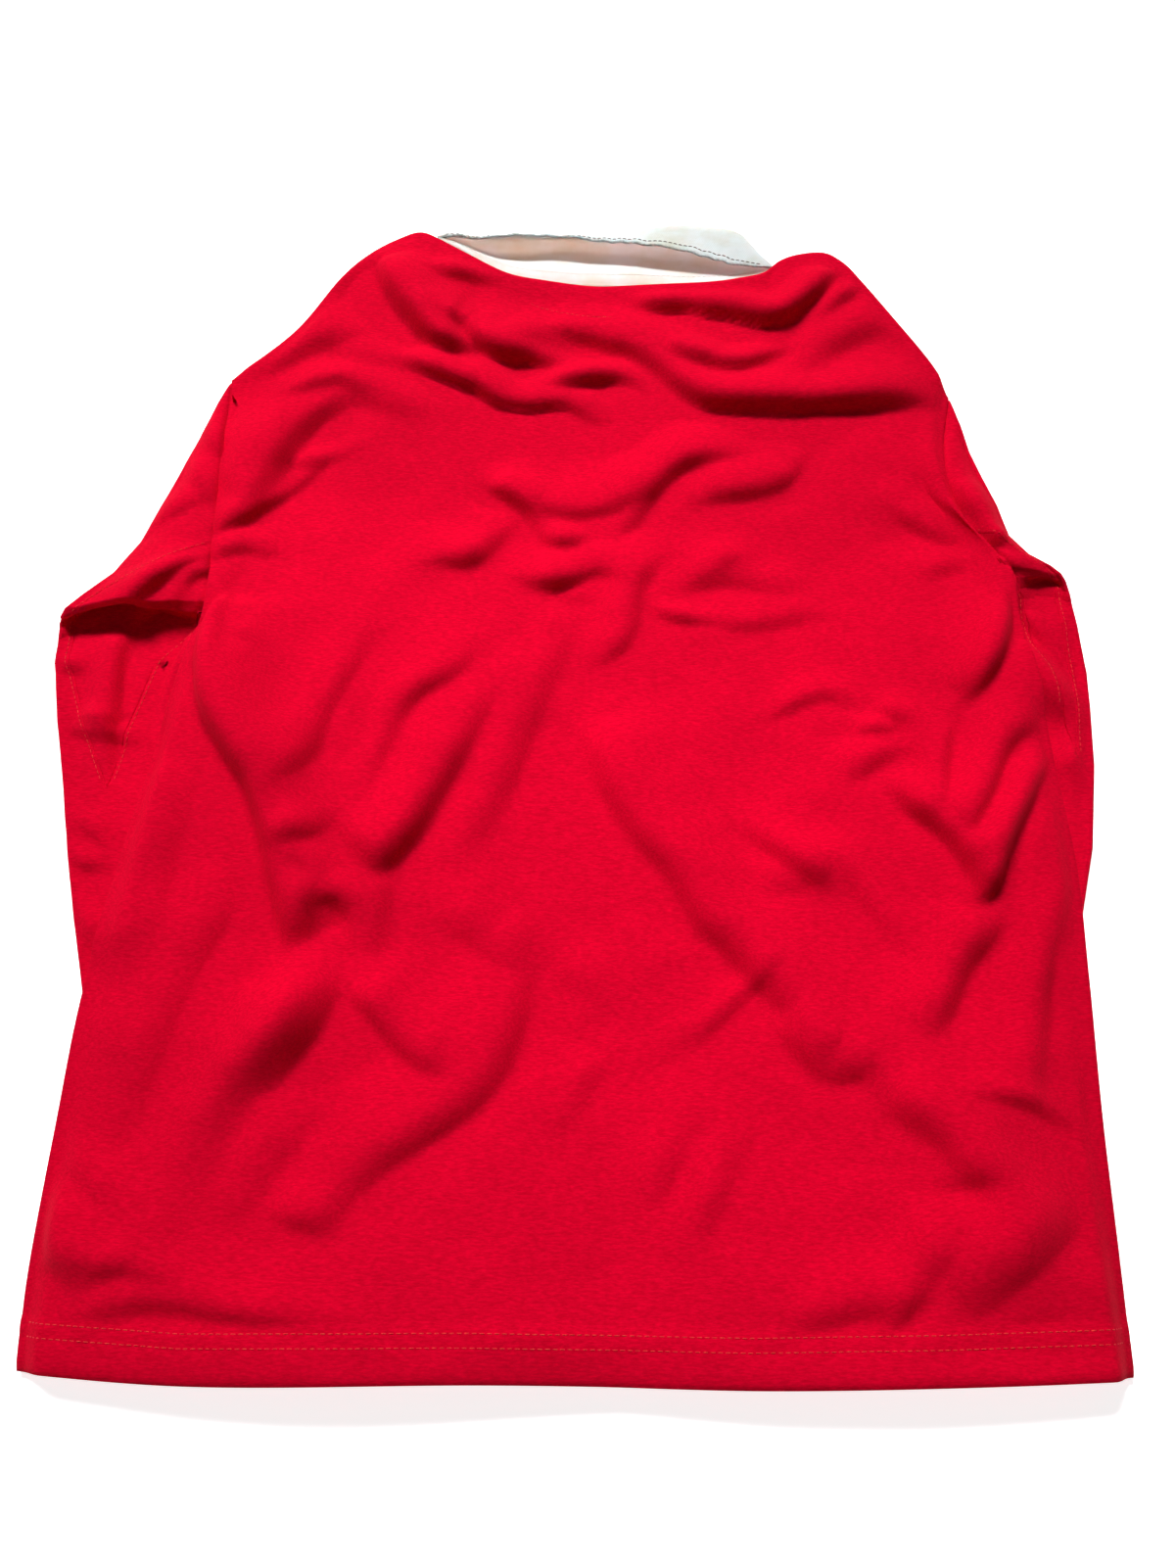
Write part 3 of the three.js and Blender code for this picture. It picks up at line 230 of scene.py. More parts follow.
# Folds and creases, as places (x, s, drop) on the floor as the camera sees them, s from the
# camera's aim. The cloth stands higher on the left of the way: it drops by drop millimetres over
# the width steep at the line, and settles back beyond the crest over the width tail. Columns:
# steep, tail, places.
FOLDS = [
    # Below the left end of the collar
    (12, 26, [(-157, 424, 5), (-149, 404, 14), (-139, 386, 16), (-128, 370, 17), (-119, 356, 16),
        (-110, 346, 14), (-99, 339, 12), (-86, 336, 6), (-74, 334, 1)]),
    (4, 8, [(-166, 410, 1), (-160, 418, 4), (-150, 425, 4), (-138, 431, 3), (-128, 434, 1)]),
    (9, 13, [(-120, 412, 1), (-108, 408, 4), (-92, 406, 6), (-78, 403, 5), (-62, 402, 3), (-45, 400, 1)]),
    (8, 12, [(-106, 366, 1), (-97, 359, 4), (-90, 357, 4), (-84, 364, 2)]),
    (12, 22, [(-92, 362, 2), (-84, 352, 8), (-76, 341, 11), (-66, 334, 12), (-55, 331, 13), (-44, 329, 12),
        (-34, 326, 8), (-22, 324, 4), (-8, 318, 1)]),
    (18, 16, [(-52, 340, 2), (-38, 345, 4), (-22, 343, 4), (-8, 340, 2)]),
    (8, 24, [(-132, 325, 2), (-122, 320, 8), (-110, 315, 10), (-98, 309, 10), (-88, 304, 10),
        (-78, 300, 10), (-70, 293, 10), (-62, 287, 9), (-52, 284, 8), (-40, 283, 8), (-27, 285, 8),
        (-15, 285, 7), (-7, 280, 6), (0, 273, 4), (12, 268, 3), (24, 265, 1)]),
    (18, 26, [(-236, 314, 1), (-222, 320, 4), (-210, 329, 6), (-197, 338, 6), (-182, 344, 5),
        (-168, 350, 3), (-158, 356, 1)]),
    (15, 18, [(-188, 337, 2), (-172, 332, 4), (-152, 326, 4), (-136, 321, 2)]),
    (8, 16, [(-212, 296, 1), (-198, 298, 4), (-185, 302, 5), (-172, 303, 5), (-158, 297, 3),
        (-146, 292, 1)]),
    (18, 22, [(-172, 292, 2), (-150, 287, 4), (-134, 280, 4), (-118, 272, 2)]),
    # Left shoulder blade
    (19, 28, [(-230, 200, 1), (-222, 214, 6), (-214, 231, 8), (-206, 248, 9), (-198, 262, 9),
        (-188, 274, 8), (-176, 283, 6), (-164, 286, 2)]),
    (5, 10, [(-203, 237, 1), (-188, 235, 3), (-172, 237, 2), (-158, 243, 1)]),
    (7, 14, [(-250, 184, 1), (-242, 187, 5), (-230, 193, 7), (-221, 201, 6), (-208, 209, 4), (-196, 217, 3),
        (-186, 227, 3), (-176, 238, 1)]),
    (10, 12, [(-250, 163, 1), (-238, 168, 4), (-224, 170, 5), (-212, 164, 4), (-202, 161, 1)]),
    (14, 20, [(-227, 66, 1), (-231, 82, 4), (-233, 104, 5), (-235, 126, 5), (-239, 150, 3),
        (-242, 166, 1)]),
    (6, 9, [(-222, 98, 1), (-214, 92, 3), (-204, 86, 1)]),
    # Below the right end of the collar
    (10, 18, [(18, 390, 1), (30, 384, 3), (42, 378, 8), (58, 376, 10), (74, 375, 10), (86, 371, 11),
        (100, 370, 12), (116, 368, 13), (130, 367, 14), (143, 369, 14), (152, 376, 14), (160, 385, 13),
        (168, 394, 12), (176, 403, 10), (183, 411, 4)]),
    (7, 12, [(166, 362, 1), (174, 372, 4), (182, 381, 6), (190, 387, 6), (200, 391, 2)]),
    (13, 26, [(-28, 350, 1), (-14, 351, 5), (0, 348, 8), (14, 343, 10), (28, 338, 11), (40, 330, 11),
        (49, 321, 11), (57, 311, 11), (65, 301, 12), (74, 293, 13), (84, 288, 14), (98, 286, 14),
        (114, 285, 14), (132, 284, 14), (150, 283, 14), (168, 284, 14), (186, 286, 13), (202, 288, 11),
        (216, 289, 9), (230, 289, 5), (242, 287, 1)]),
    (9, 16, [(56, 335, 2), (64, 328, 6), (74, 323, 8), (86, 320, 9), (98, 317, 9), (109, 319, 8),
        (119, 325, 7), (130, 331, 6), (142, 336, 2)]),
    (8, 14, [(-28, 301, 1), (-14, 304, 7), (0, 308, 9), (12, 310, 9), (22, 309, 8), (31, 304, 6),
        (38, 296, 4), (46, 287, 3), (56, 279, 1)]),
    (20, 24, [(142, 314, 2), (155, 318, 5), (166, 324, 5), (176, 336, 6), (190, 346, 7), (204, 351, 6),
        (216, 349, 2)]),
    # Across the shoulder blades
    (14, 24, [(-34, 199, 2), (-20, 196, 6), (-4, 195, 7), (10, 198, 6), (24, 202, 4), (36, 207, 2)]),
    (12, 22, [(14, 184, 2), (26, 185, 4), (34, 194, 5), (42, 208, 7), (52, 221, 8), (64, 231, 8),
        (76, 235, 7), (90, 237, 4), (102, 239, 1)]),
    (11, 18, [(76, 202, 2), (88, 205, 5), (104, 207, 6), (120, 211, 5), (132, 217, 5), (140, 226, 3),
        (147, 240, 1)]),
    (13, 16, [(202, 197, 2), (212, 189, 5), (224, 183, 5), (238, 179, 4), (250, 180, 1)]),
    (12, 14, [(212, 140, 1), (226, 148, 3), (240, 154, 3), (252, 158, 1)]),
    (15, 18, [(58, 136, 1), (74, 143, 5), (92, 145, 5), (112, 140, 4), (130, 136, 2)]),
    (9, 12, [(84, 150, 1), (92, 155, 3), (102, 158, 1)]),
    (12, 14, [(10, 88, 2), (22, 96, 5), (28, 108, 4), (30, 122, 5), (33, 140, 5), (40, 152, 4),
        (48, 160, 1)]),
    (4, 8, [(42, 123, 1), (50, 119, 4), (60, 115, 5), (70, 113, 3), (78, 112, 1)]),
    (10, 14, [(80, 113, 1), (98, 110, 3), (116, 112, 3), (134, 115, 3), (150, 117, 1)]),
    # Middle of the back
    (9, 16, [(-68, 216, 3), (-60, 213, 8), (-52, 209, 9), (-44, 203, 8), (-38, 195, 6), (-33, 186, 5),
        (-27, 177, 6), (-18, 172, 7), (-8, 173, 5), (2, 178, 1)]),
    (13, 18, [(-104, 155, 2), (-94, 157, 5), (-82, 157, 7), (-72, 162, 7), (-63, 172, 5), (-54, 183, 3),
        (-47, 191, 1)]),
    (10, 24, [(-44, 146, 2), (-34, 143, 5), (-24, 142, 8), (-14, 143, 8), (-4, 147, 6), (6, 151, 5),
        (16, 149, 3), (26, 142, 1)]),
    (12, 22, [(-182, -2, 2), (-174, 6, 5), (-166, 20, 6), (-160, 38, 6), (-154, 58, 5), (-148, 76, 4),
        (-142, 94, 2), (-138, 108, 1)]),
    (8, 16, [(-130, -6, 1), (-126, 12, 3), (-120, 32, 4), (-112, 50, 5), (-102, 62, 6), (-90, 69, 5),
        (-80, 78, 3), (-72, 90, 1)]),
    (11, 24, [(-126, -56, 2), (-119, -49, 9), (-110, -38, 11), (-102, -26, 11), (-94, -10, 10), (-86, 5, 9),
        (-79, 20, 8), (-72, 36, 6), (-65, 52, 4), (-58, 68, 1)]),
    (16, 24, [(-72, -44, 1), (-60, -22, 4), (-50, 0, 5), (-42, 24, 5), (-34, 50, 5), (-26, 74, 5),
        (-18, 94, 3), (-10, 108, 1)]),
    # Long fold down the left side
    (11, 34, [(-243, 120, 9), (-242, 98, 14), (-241, 78, 19), (-239, 62, 23), (-234, 47, 25),
        (-227, 34, 25), (-219, 22, 24), (-211, 10, 23), (-203, -2, 21), (-197, -16, 19), (-192, -30, 17),
        (-187, -46, 15), (-183, -62, 13), (-178, -78, 11), (-172, -92, 7), (-166, -102, 1)]),
    (8, 10, [(-182, -38, 1), (-174, -38, 5), (-164, -36, 5), (-155, -30, 2)]),
    (6, 9, [(-180, -44, 1), (-168, -52, 3), (-156, -60, 3), (-150, -66, 1)]),
    (5, 9, [(-150, -24, 1), (-140, -38, 3), (-130, -50, 2), (-122, -56, 1)]),
    (6, 10, [(-156, -76, 2), (-150, -73, 6), (-143, -75, 6), (-138, -84, 4), (-134, -94, 1)]),
    (8, 10, [(-161, -96, 2), (-161, -82, 5), (-159, -68, 4), (-156, -58, 1)]),
    (9, 12, [(-120, -108, 1), (-119, -90, 4), (-119, -72, 4), (-117, -58, 1)]),
    # Lower left
    (18, 26, [(-196, -184, 3), (-186, -175, 9), (-174, -166, 15), (-163, -154, 18), (-156, -140, 18),
        (-152, -126, 13), (-153, -112, 6), (-156, -100, 1)]),
    (10, 18, [(-132, -126, 2), (-123, -134, 7), (-115, -143, 7), (-106, -152, 7), (-97, -160, 7),
        (-88, -166, 6), (-78, -169, 2)]),
    (13, 30, [(-150, -252, 1), (-136, -243, 3), (-122, -228, 6), (-108, -215, 8), (-94, -206, 9),
        (-80, -197, 10), (-68, -188, 10), (-57, -176, 9), (-49, -163, 9), (-44, -148, 8), (-40, -132, 6),
        (-38, -116, 4), (-36, -100, 1)]),
    (14, 28, [(-258, -214, 1), (-250, -190, 3), (-243, -165, 5), (-236, -142, 5), (-229, -122, 5),
        (-219, -103, 5), (-209, -86, 4), (-200, -70, 3), (-192, -56, 1)]),
    (15, 22, [(-256, -112, 1), (-254, -90, 4), (-252, -66, 4), (-249, -42, 4), (-245, -18, 2),
        (-243, 0, 1)]),
    (16, 18, [(-212, -236, 1), (-204, -216, 4), (-197, -198, 5), (-188, -186, 4), (-178, -180, 1)]),
    (14, 18, [(-190, -250, 1), (-181, -238, 4), (-172, -222, 5), (-162, -206, 5), (-152, -193, 3),
        (-142, -184, 1)]),
    (8, 12, [(-164, -247, 2), (-152, -247, 5), (-140, -250, 4), (-128, -254, 1)]),
    (10, 16, [(-290, -232, 2), (-284, -246, 5), (-276, -260, 6), (-267, -271, 5), (-256, -278, 1)]),
    (8, 12, [(-280, -214, 1), (-270, -223, 4), (-258, -232, 4), (-246, -241, 1)]),
    (6, 9, [(-256, -278, 1), (-246, -272, 4), (-234, -271, 3), (-218, -274, 3), (-200, -276, 1)]),
    (7, 10, [(-262, -293, 1), (-244, -291, 3), (-222, -287, 4), (-200, -288, 5), (-178, -292, 5),
        (-156, -294, 4), (-130, -296, 2), (-108, -296, 1)]),
    (44, 50, [(-214, -290, 1), (-214, -262, 8), (-224, -222, 6), (-236, -190, 1)]),
    # Lower right
    (44, 60, [(250, -300, 2), (246, -270, 10), (240, -220, 11), (246, -160, 8), (252, -110, 1)]),
    (13, 30, [(-2, 40, 1), (5, 26, 7), (12, 8, 9), (20, -10, 9), (29, -25, 10), (39, -38, 11),
        (50, -51, 12), (60, -68, 11), (70, -84, 11), (82, -97, 11), (93, -109, 11), (103, -120, 10),
        (113, -131, 8), (126, -144, 6), (146, -164, 5), (170, -188, 4), (196, -214, 2), (212, -230, 1)]),
    (6, 8, [(58, -154, 1), (70, -144, 3), (82, -134, 3), (93, -125, 4), (104, -112, 2)]),
    (10, 14, [(106, -140, 1), (113, -149, 7), (121, -160, 9), (130, -170, 6), (141, -172, 5),
        (152, -166, 2)]),
    (12, 16, [(158, -186, 1), (170, -193, 5), (182, -200, 5), (193, -211, 5), (204, -224, 5),
        (212, -236, 4), (218, -248, 1)]),
    (9, 12, [(180, -228, 1), (192, -228, 4), (206, -226, 4), (216, -222, 1)]),
    (8, 14, [(86, -18, 1), (98, -29, 4), (110, -39, 7), (121, -48, 8), (131, -57, 6), (140, -64, 2)]),
    (12, 14, [(98, -60, 1), (114, -61, 4), (128, -62, 4), (140, -66, 1)]),
    (5, 9, [(136, -36, 1), (146, -50, 3), (156, -66, 3), (166, -82, 3), (176, -96, 2), (184, -104, 1)]),
    (7, 14, [(180, 2, 1), (188, -9, 6), (196, -19, 10), (205, -28, 9), (213, -37, 9), (220, -48, 8),
        (226, -58, 2)]),
    (5, 10, [(206, -18, 1), (212, -4, 4), (216, 12, 4), (220, 28, 3), (226, 44, 1)]),
    (8, 10, [(178, 52, 1), (186, 46, 5), (194, 40, 4), (198, 28, 3), (202, 12, 3), (206, -4, 1)]),
    (6, 8, [(162, 36, 1), (172, 34, 5), (182, 34, 4), (190, 38, 1)]),
    (9, 12, [(156, 2, 1), (166, 8, 4), (178, 16, 5), (188, 20, 2)]),
    (6, 10, [(112, 44, 1), (124, 50, 3), (138, 57, 3), (152, 58, 3), (166, 50, 1)]),
    (8, 14, [(232, 52, 1), (241, 62, 6), (249, 72, 8), (257, 84, 9), (264, 98, 9), (270, 114, 8),
        (274, 130, 3)]),
    (9, 14, [(216, -34, 1), (224, -28, 7), (232, -17, 10), (240, -4, 10), (248, 11, 9), (256, 25, 8),
        (265, 35, 6), (274, 40, 2)]),
    (7, 14, [(220, -74, 1), (228, -72, 7), (236, -64, 12), (242, -50, 12), (249, -34, 12), (257, -20, 11),
        (265, -8, 10), (272, 4, 9), (278, 14, 4)]),
    (11, 18, [(184, -154, 1), (192, -144, 5), (200, -133, 8), (207, -120, 8), (214, -109, 8),
        (222, -100, 8), (229, -92, 6), (234, -82, 2)]),
    (8, 16, [(240, -184, 1), (247, -162, 4), (253, -142, 5), (258, -122, 6), (264, -103, 5), (270, -86, 4),
        (277, -70, 2)]),
    (16, 26, [(184, -290, 1), (196, -282, 6), (208, -275, 8), (220, -267, 9), (232, -258, 9),
        (243, -250, 8), (254, -242, 4), (264, -236, 1)]),
    (10, 14, [(96, -298, 1), (112, -295, 4), (130, -290, 5), (148, -286, 5), (162, -281, 5), (172, -271, 4),
        (180, -260, 3), (188, -250, 1)]),
    (5, 8, [(148, -300, 1), (156, -294, 4), (164, -288, 3), (172, -284, 1)]),
    (5, 8, [(204, -183, 1), (218, -185, 3), (234, -188, 4), (248, -194, 3), (260, -200, 1)]),
    (10, 14, [(30, -240, 1), (38, -228, 4), (46, -214, 4), (54, -202, 2), (60, -192, 1)]),
    (9, 12, [(56, -258, 1), (66, -240, 3), (76, -218, 3), (86, -196, 1)]),
    (14, 16, [(-84, -76, 1), (-72, -86, 4), (-60, -96, 4), (-46, -104, 4), (-34, -108, 1)]),
    (14, 16, [(-20, -110, 1), (-6, -118, 3), (8, -128, 2), (20, -134, 1)]),
    (8, 10, [(-12, -196, 1), (-4, -184, 2), (4, -172, 3), (12, -164, 1)]),
]
FOLD_GAIN = 1.5
# Folds pile up no higher than cloth does: a share of their mean over this distance is taken off
FOLD_SPREAD = 42
FOLD_SETTLE = 0.9
# The table's steep widths and drops change from the lower back to its top, as shares
LOW_STEEP, TOP_STEEP = 1.35, 0.72
LOW_DROP, TOP_DROP = 0.7, 0.74
TOP_BEGINS, TOP_GROWS = -130, 330
# A fold narrower than this breaks over a sharp crest
ROUND_FOLD = 22
TROUGH_SHARE = 0.14
FOLD_END_FADE = 9
# Above this height a crest has only so much room left
CREST_START = 36
CREST_ROOM = 9
# Bumps all over the lying cloth: how wide, how high on average
UNDULATION = ((28, 1.3), (12, 0.7), (5, 0.2), (2.6, 0.05))

# The same columns for the sleeves
SLEEVE_FOLDS = [
    # Left sleeve above the elbow
    (7, 12, [(-296, 126, 3), (-290, 133, 6), (-282, 143, 7), (-273, 151, 6), (-264, 157, 4),
        (-254, 160, 1)]),
    (7, 10, [(-268, 268, 1), (-261, 258, 3), (-254, 248, 4), (-247, 239, 4), (-242, 229, 2)]),
    (6, 10, [(-276, 236, 1), (-268, 227, 3), (-260, 217, 3), (-254, 206, 1)]),
    (5, 8, [(-252, 292, 2), (-249, 284, 4), (-245, 276, 2)]),
    (9, 14, [(-288, 190, 1), (-278, 200, 3), (-268, 206, 2), (-260, 210, 1)]),
    (6, 10, [(-262, 136, 2), (-258, 146, 4), (-250, 152, 4), (-243, 155, 1)]),
    # Left sleeve below the elbow
    (7, 12, [(-293, 0, 1), (-295, 24, 3), (-296, 50, 5), (-298, 76, 6), (-300, 100, 6)]),
    (5, 8, [(-322, 38, 1), (-312, 36, 4), (-302, 34, 5), (-292, 33, 4), (-282, 31, 2)]),
    (5, 8, [(-318, 46, 1), (-308, 44, 4), (-300, 42, 4), (-292, 46, 1)]),
    (7, 10, [(-336, 84, 2), (-330, 82, 4), (-322, 80, 3), (-316, 78, 1)]),
    (5, 8, [(-306, -46, 2), (-298, -50, 4), (-290, -50, 2)]),
    (5, 8, [(-310, -24, 1), (-300, -28, 3), (-292, -34, 2)]),
    (6, 8, [(-302, -78, 1), (-294, -86, 4), (-287, -92, 3)]),
    (5, 8, [(-258, 104, 2), (-262, 92, 5), (-266, 76, 4), (-268, 52, 2), (-270, 24, 1)]),
    (5, 7, [(-246, 72, 2), (-250, 86, 4), (-252, 100, 3)]),
    # Right sleeve above the elbow
    (11, 14, [(249, 226, 1), (252, 217, 5), (256, 208, 6), (261, 200, 5), (266, 190, 3), (270, 180, 2)]),
    (6, 9, [(262, 196, 1), (266, 184, 4), (272, 176, 5), (277, 172, 2)]),
    (6, 10, [(262, 166, 2), (270, 160, 4), (280, 157, 4), (290, 154, 2)]),
    (5, 8, [(268, 152, 2), (274, 145, 4), (278, 138, 4)]),
    # Right sleeve below the elbow
    (9, 12, [(274, 98, 4), (279, 90, 8), (284, 80, 9), (289, 68, 9), (293, 56, 7), (297, 45, 3)]),
    (5, 8, [(284, 128, 2), (288, 118, 4), (292, 106, 3), (296, 94, 1)]),
    (5, 8, [(292, 30, 1), (290, 20, 4), (288, 12, 3), (290, 4, 1)]),
    (5, 8, [(298, 46, 1), (296, 30, 3), (294, 14, 3), (293, -2, 1)]),
]

# The hem is turned up: distances up from its edge
HEM_TURN = 22
HEM_STITCHES = (22.5, 16)
HEM_RISE = 1.5

# The sleeve's upper edge goes this far in under the back's armhole
ARMHOLE_TUCK = 4.5
# Rows of stitches run this far beside the seams of the gusset
SEAM_ROW = 2.2

# Stitches: length, gap and width of the thread
HEM_STITCH = (2.6, 1.1, 0.62)
SEAM_STITCH = (2.6, 1.1, 0.55)
NECK_STITCH = (2.6, 1.2, 0.4)
COLLAR_EDGE_STITCH = (2.8, 0.9, 0.75)
COLLAR_FOOT_STITCH = (2.4, 1.2, 0.55)
COLLAR_PUCKER = (3.4, -0.7, 2.7)

# How finely each sheet is divided
BACK_ROWS, BACK_COLUMNS = 262, 188
FRONT_ROWS, FRONT_COLUMNS = 120, 100
COLLAR_ROWS, COLLAR_COLUMNS = 70, 320
SLEEVE_RINGS = 225
UNDER_STEPS = 22
TURN_STEPS = 6
OUTER_STEPS = 34
INNER_STEPS = 26
INNER_TURN_STEPS = 3
GUSSET_STEPS = 34

# Rasters of heights
RASTER_CELL = 1.5
RASTER_LOW = (-352, -22)
RASTER_SIZE = (462, 516)  # cells along x, along y
TENT_SLOPE = 0.6

random = np.random.default_rng(4)


def smooth(t):
    """Smooth step from 0 to 1."""
    s = np.clip(t, 0, 1)
    return s * s * (3 - 2 * s)


def mix(a, b, t):
    return a + (b - a) * t


def curve(points, count):
    """Places evenly spread along a smooth centripetal curve through points."""
    p = np.array(points, float)
    ends = np.vstack([2 * p[0] - p[1], p, 2 * p[-1] - p[-2]])
    spans = np.sqrt(np.linalg.norm(np.diff(ends, axis=0), axis=1))
    t = np.linspace(0, 1, 40)[:, None]
    dense = []
    for k in range(len(p) - 1):
        p0, p1, p2, p3 = ends[k : k + 4]
        d0, d1, d2 = spans[k : k + 3]
        leave = ((p1 - p0) / d0 - (p2 - p0) / (d0 + d1) + (p2 - p1) / d1) * d1
        reach = ((p2 - p1) / d1 - (p3 - p1) / (d1 + d2) + (p3 - p2) / d2) * d1
        square = -3 * p1 + 3 * p2 - 2 * leave - reach
        cube = 2 * p1 - 2 * p2 + leave + reach
        dense.append(p1 + leave * t + square * t**2 + cube * t**3)
    dense = np.vstack(dense)
    steps = np.linalg.norm(np.diff(dense, axis=0), axis=1)
    length = np.concatenate([[0], np.cumsum(steps)])
    places = np.linspace(0, length[-1], count)
    return np.stack([np.interp(places, length, dense[:, c]) for c in range(dense.shape[1])], axis=1)


def blur(image, sigma):
    """Gaussian blur of a raster, sigma in cells."""
    margin = int(3 * sigma) + 1
    padded = np.pad(image, margin, mode="edge")
    fy = np.fft.fftfreq(padded.shape[0])[:, None]
    fx = np.fft.rfftfreq(padded.shape[1])[None, :]
    keep = np.exp(-2 * (math.pi * sigma) ** 2 * (fx**2 + fy**2))
    soft = np.fft.irfft2(np.fft.rfft2(padded) * keep, s=padded.shape)
    return soft[margin:-margin, margin:-margin]


def raster_axes():
    x = RASTER_LOW[0] + RASTER_CELL * np.arange(RASTER_SIZE[0])
    y = RASTER_LOW[1] + RASTER_CELL * np.arange(RASTER_SIZE[1])
    return x, y


def read_raster(raster, x, y):
    """Values of a raster at places, straight between cells."""
    fx = np.clip((x - RASTER_LOW[0]) / RASTER_CELL, 0, RASTER_SIZE[0] - 1.001)
    fy = np.clip((y - RASTER_LOW[1]) / RASTER_CELL, 0, RASTER_SIZE[1] - 1.001)
    i, j = fy.astype(int), fx.astype(int)
    a, b = fy - i, fx - j
    low = mix(raster[i, j], raster[i, j + 1], b)
    high = mix(raster[i + 1, j], raster[i + 1, j + 1], b)
    return mix(low, high, a)


def noise(sigma, height):
    """Even random raster with bumps about sigma millimetres wide, and that height on average."""
    raster = blur(random.standard_normal(RASTER_SIZE[::-1]), sigma / RASTER_CELL)
    return raster * height / raster.std()


def refine(grid, times):
    """Straight steps between a grid's points."""
    for axis in (0, 1):
        count = grid.shape[axis]
        places = np.linspace(0, count - 1, (count - 1) * times + 1)
        low = np.minimum(places.astype(int), count - 2)
        share = places - low
        shape = [1, 1, 1]
        shape[axis] = -1
        share = share.reshape(shape)
        grid = mix(np.take(grid, low, axis), np.take(grid, low + 1, axis), share)
    return grid


def top_raster(grids, thickness):
    """Highest cloth over each place, to the top of its thickness."""
    raster = np.zeros(RASTER_SIZE[::-1])
    for grid in grids:
        points = refine(grid, 3).reshape(-1, 3)
        j = np.round((points[:, 0] - RASTER_LOW[0]) / RASTER_CELL).astype(int)
        i = np.round((points[:, 1] - RASTER_LOW[1]) / RASTER_CELL).astype(int)
        inside = (i >= 0) & (i < RASTER_SIZE[1]) & (j >= 0) & (j < RASTER_SIZE[0])
        np.maximum.at(raster, (i[inside], j[inside]), points[inside, 2] + thickness / 2)
    return raster


def widen(raster, reach):
    """Each height spreads flat over reach."""
    out = raster.copy()
    for _ in range(max(1, round(reach / RASTER_CELL))):
        step = np.maximum(np.maximum(np.roll(out, 1, 0), np.roll(out, -1, 0)), out)
        out = np.maximum(np.maximum(np.roll(step, 1, 1), np.roll(step, -1, 1)), step)
    return out


def tent(raster, reach, slope):
    """Each height spreads to reach, then falls away at the slope."""
    out = widen(raster, reach)
    span = int(out.max() / slope / RASTER_CELL)
    for step in (1, 2, 4, 8, 16, 32):
        if step > span:
            break
        for dy, dx in ((0, 1), (0, -1), (1, 0), (-1, 0), (1, 1), (1, -1), (-1, 1), (-1, -1)):
            drop = slope * math.hypot(dx, dy) * step * RASTER_CELL
            moved = np.roll(out, (dy * step, dx * step), (0, 1)) - drop
            out = np.maximum(out, moved)
    return out


def on_cloth(seen, height, above=0):
    """True places of points seen by the camera on the floor plane, that far above the cloth."""
    nadir = np.array(CAMERA[:2])
    places = np.array(seen, float) + np.array([0, AIM[1]])
    true = places
    for _ in range(4):
        lift = (read_raster(height, true[:, 0], true[:, 1]) + above)[:, None]
        true = nadir + (places - nadir) * (1 - lift / CAMERA[2])
    return true


def fold_heights(base, table):
    """Raster of all the folds of a table over the cloth of height base."""
    xs, ys = raster_axes()
    total = np.zeros_like(base)
    for steep, tail, seen in table:
        seen = np.array(seen, float)
        near_top = smooth((seen[:, 1].mean() - TOP_BEGINS) / TOP_GROWS)
        seen[:, 2] *= mix(LOW_DROP, TOP_DROP, near_top)
        steep_width = steep * mix(LOW_STEEP, TOP_STEEP, near_top)
        above = 2.5 + 0.5 * FOLD_GAIN * seen[:, 2]
        places = np.column_stack([on_cloth(seen[:, :2], base, above), seen[:, 2]])
        line = curve(places, max(14, 5 * len(seen)))
        reach = 2.2 * tail + steep
        j0, j1 = np.searchsorted(xs, [line[:, 0].min() - reach, line[:, 0].max() + reach])
        i0, i1 = np.searchsorted(ys, [line[:, 1].min() - reach, line[:, 1].max() + reach])
        x, y = np.meshgrid(xs[j0:j1], ys[i0:i1])
        nearest = np.full(x.shape, np.inf)
        side, drop, beyond = np.zeros((3, *x.shape))
        for (px, py, d0), (dx, dy, dd) in zip(line[:-1], np.diff(line, axis=0)):
            length = dx * dx + dy * dy
            free = ((x - px) * dx + (y - py) * dy) / length
            along = np.clip(free, 0, 1)
            ox, oy = x - px - along * dx, y - py - along * dy
            distance = np.hypot(ox, oy)
            closer = distance < nearest
            nearest = np.where(closer, distance, nearest)
            side = np.where(closer, np.sign(dx * oy - dy * ox), side)
            drop = np.where(closer, d0 + along * dd, drop)
            beyond = np.where(closer, np.abs(free - along) * math.sqrt(length), beyond)
        across = np.sqrt(np.maximum(nearest**2 - beyond**2, 0)) * side
        t = np.clip(across / steep_width + 0.5, 0, 1)
        crisp = min(1, max(0.3, (ROUND_FOLD - steep) / 8))
        rise = mix(smooth(t), 1 - (1 - t) ** 2, crisp)
        settle = np.exp(-((np.maximum(0, across - steep / 2) / tail) ** 2))
        trough = np.exp(-(((across + steep * 0.9) / (steep * 0.9)) ** 2)) * TROUGH_SHARE
        fade = np.exp(-((beyond / FOLD_END_FADE) ** 2))
        total[i0:i1, j0:j1] += np.maximum(0, drop) * (rise * settle - trough) * fade
    mean = blur(total, FOLD_SPREAD / RASTER_CELL)
    return blur(total - FOLD_SETTLE * mean, 0.8) * FOLD_GAIN


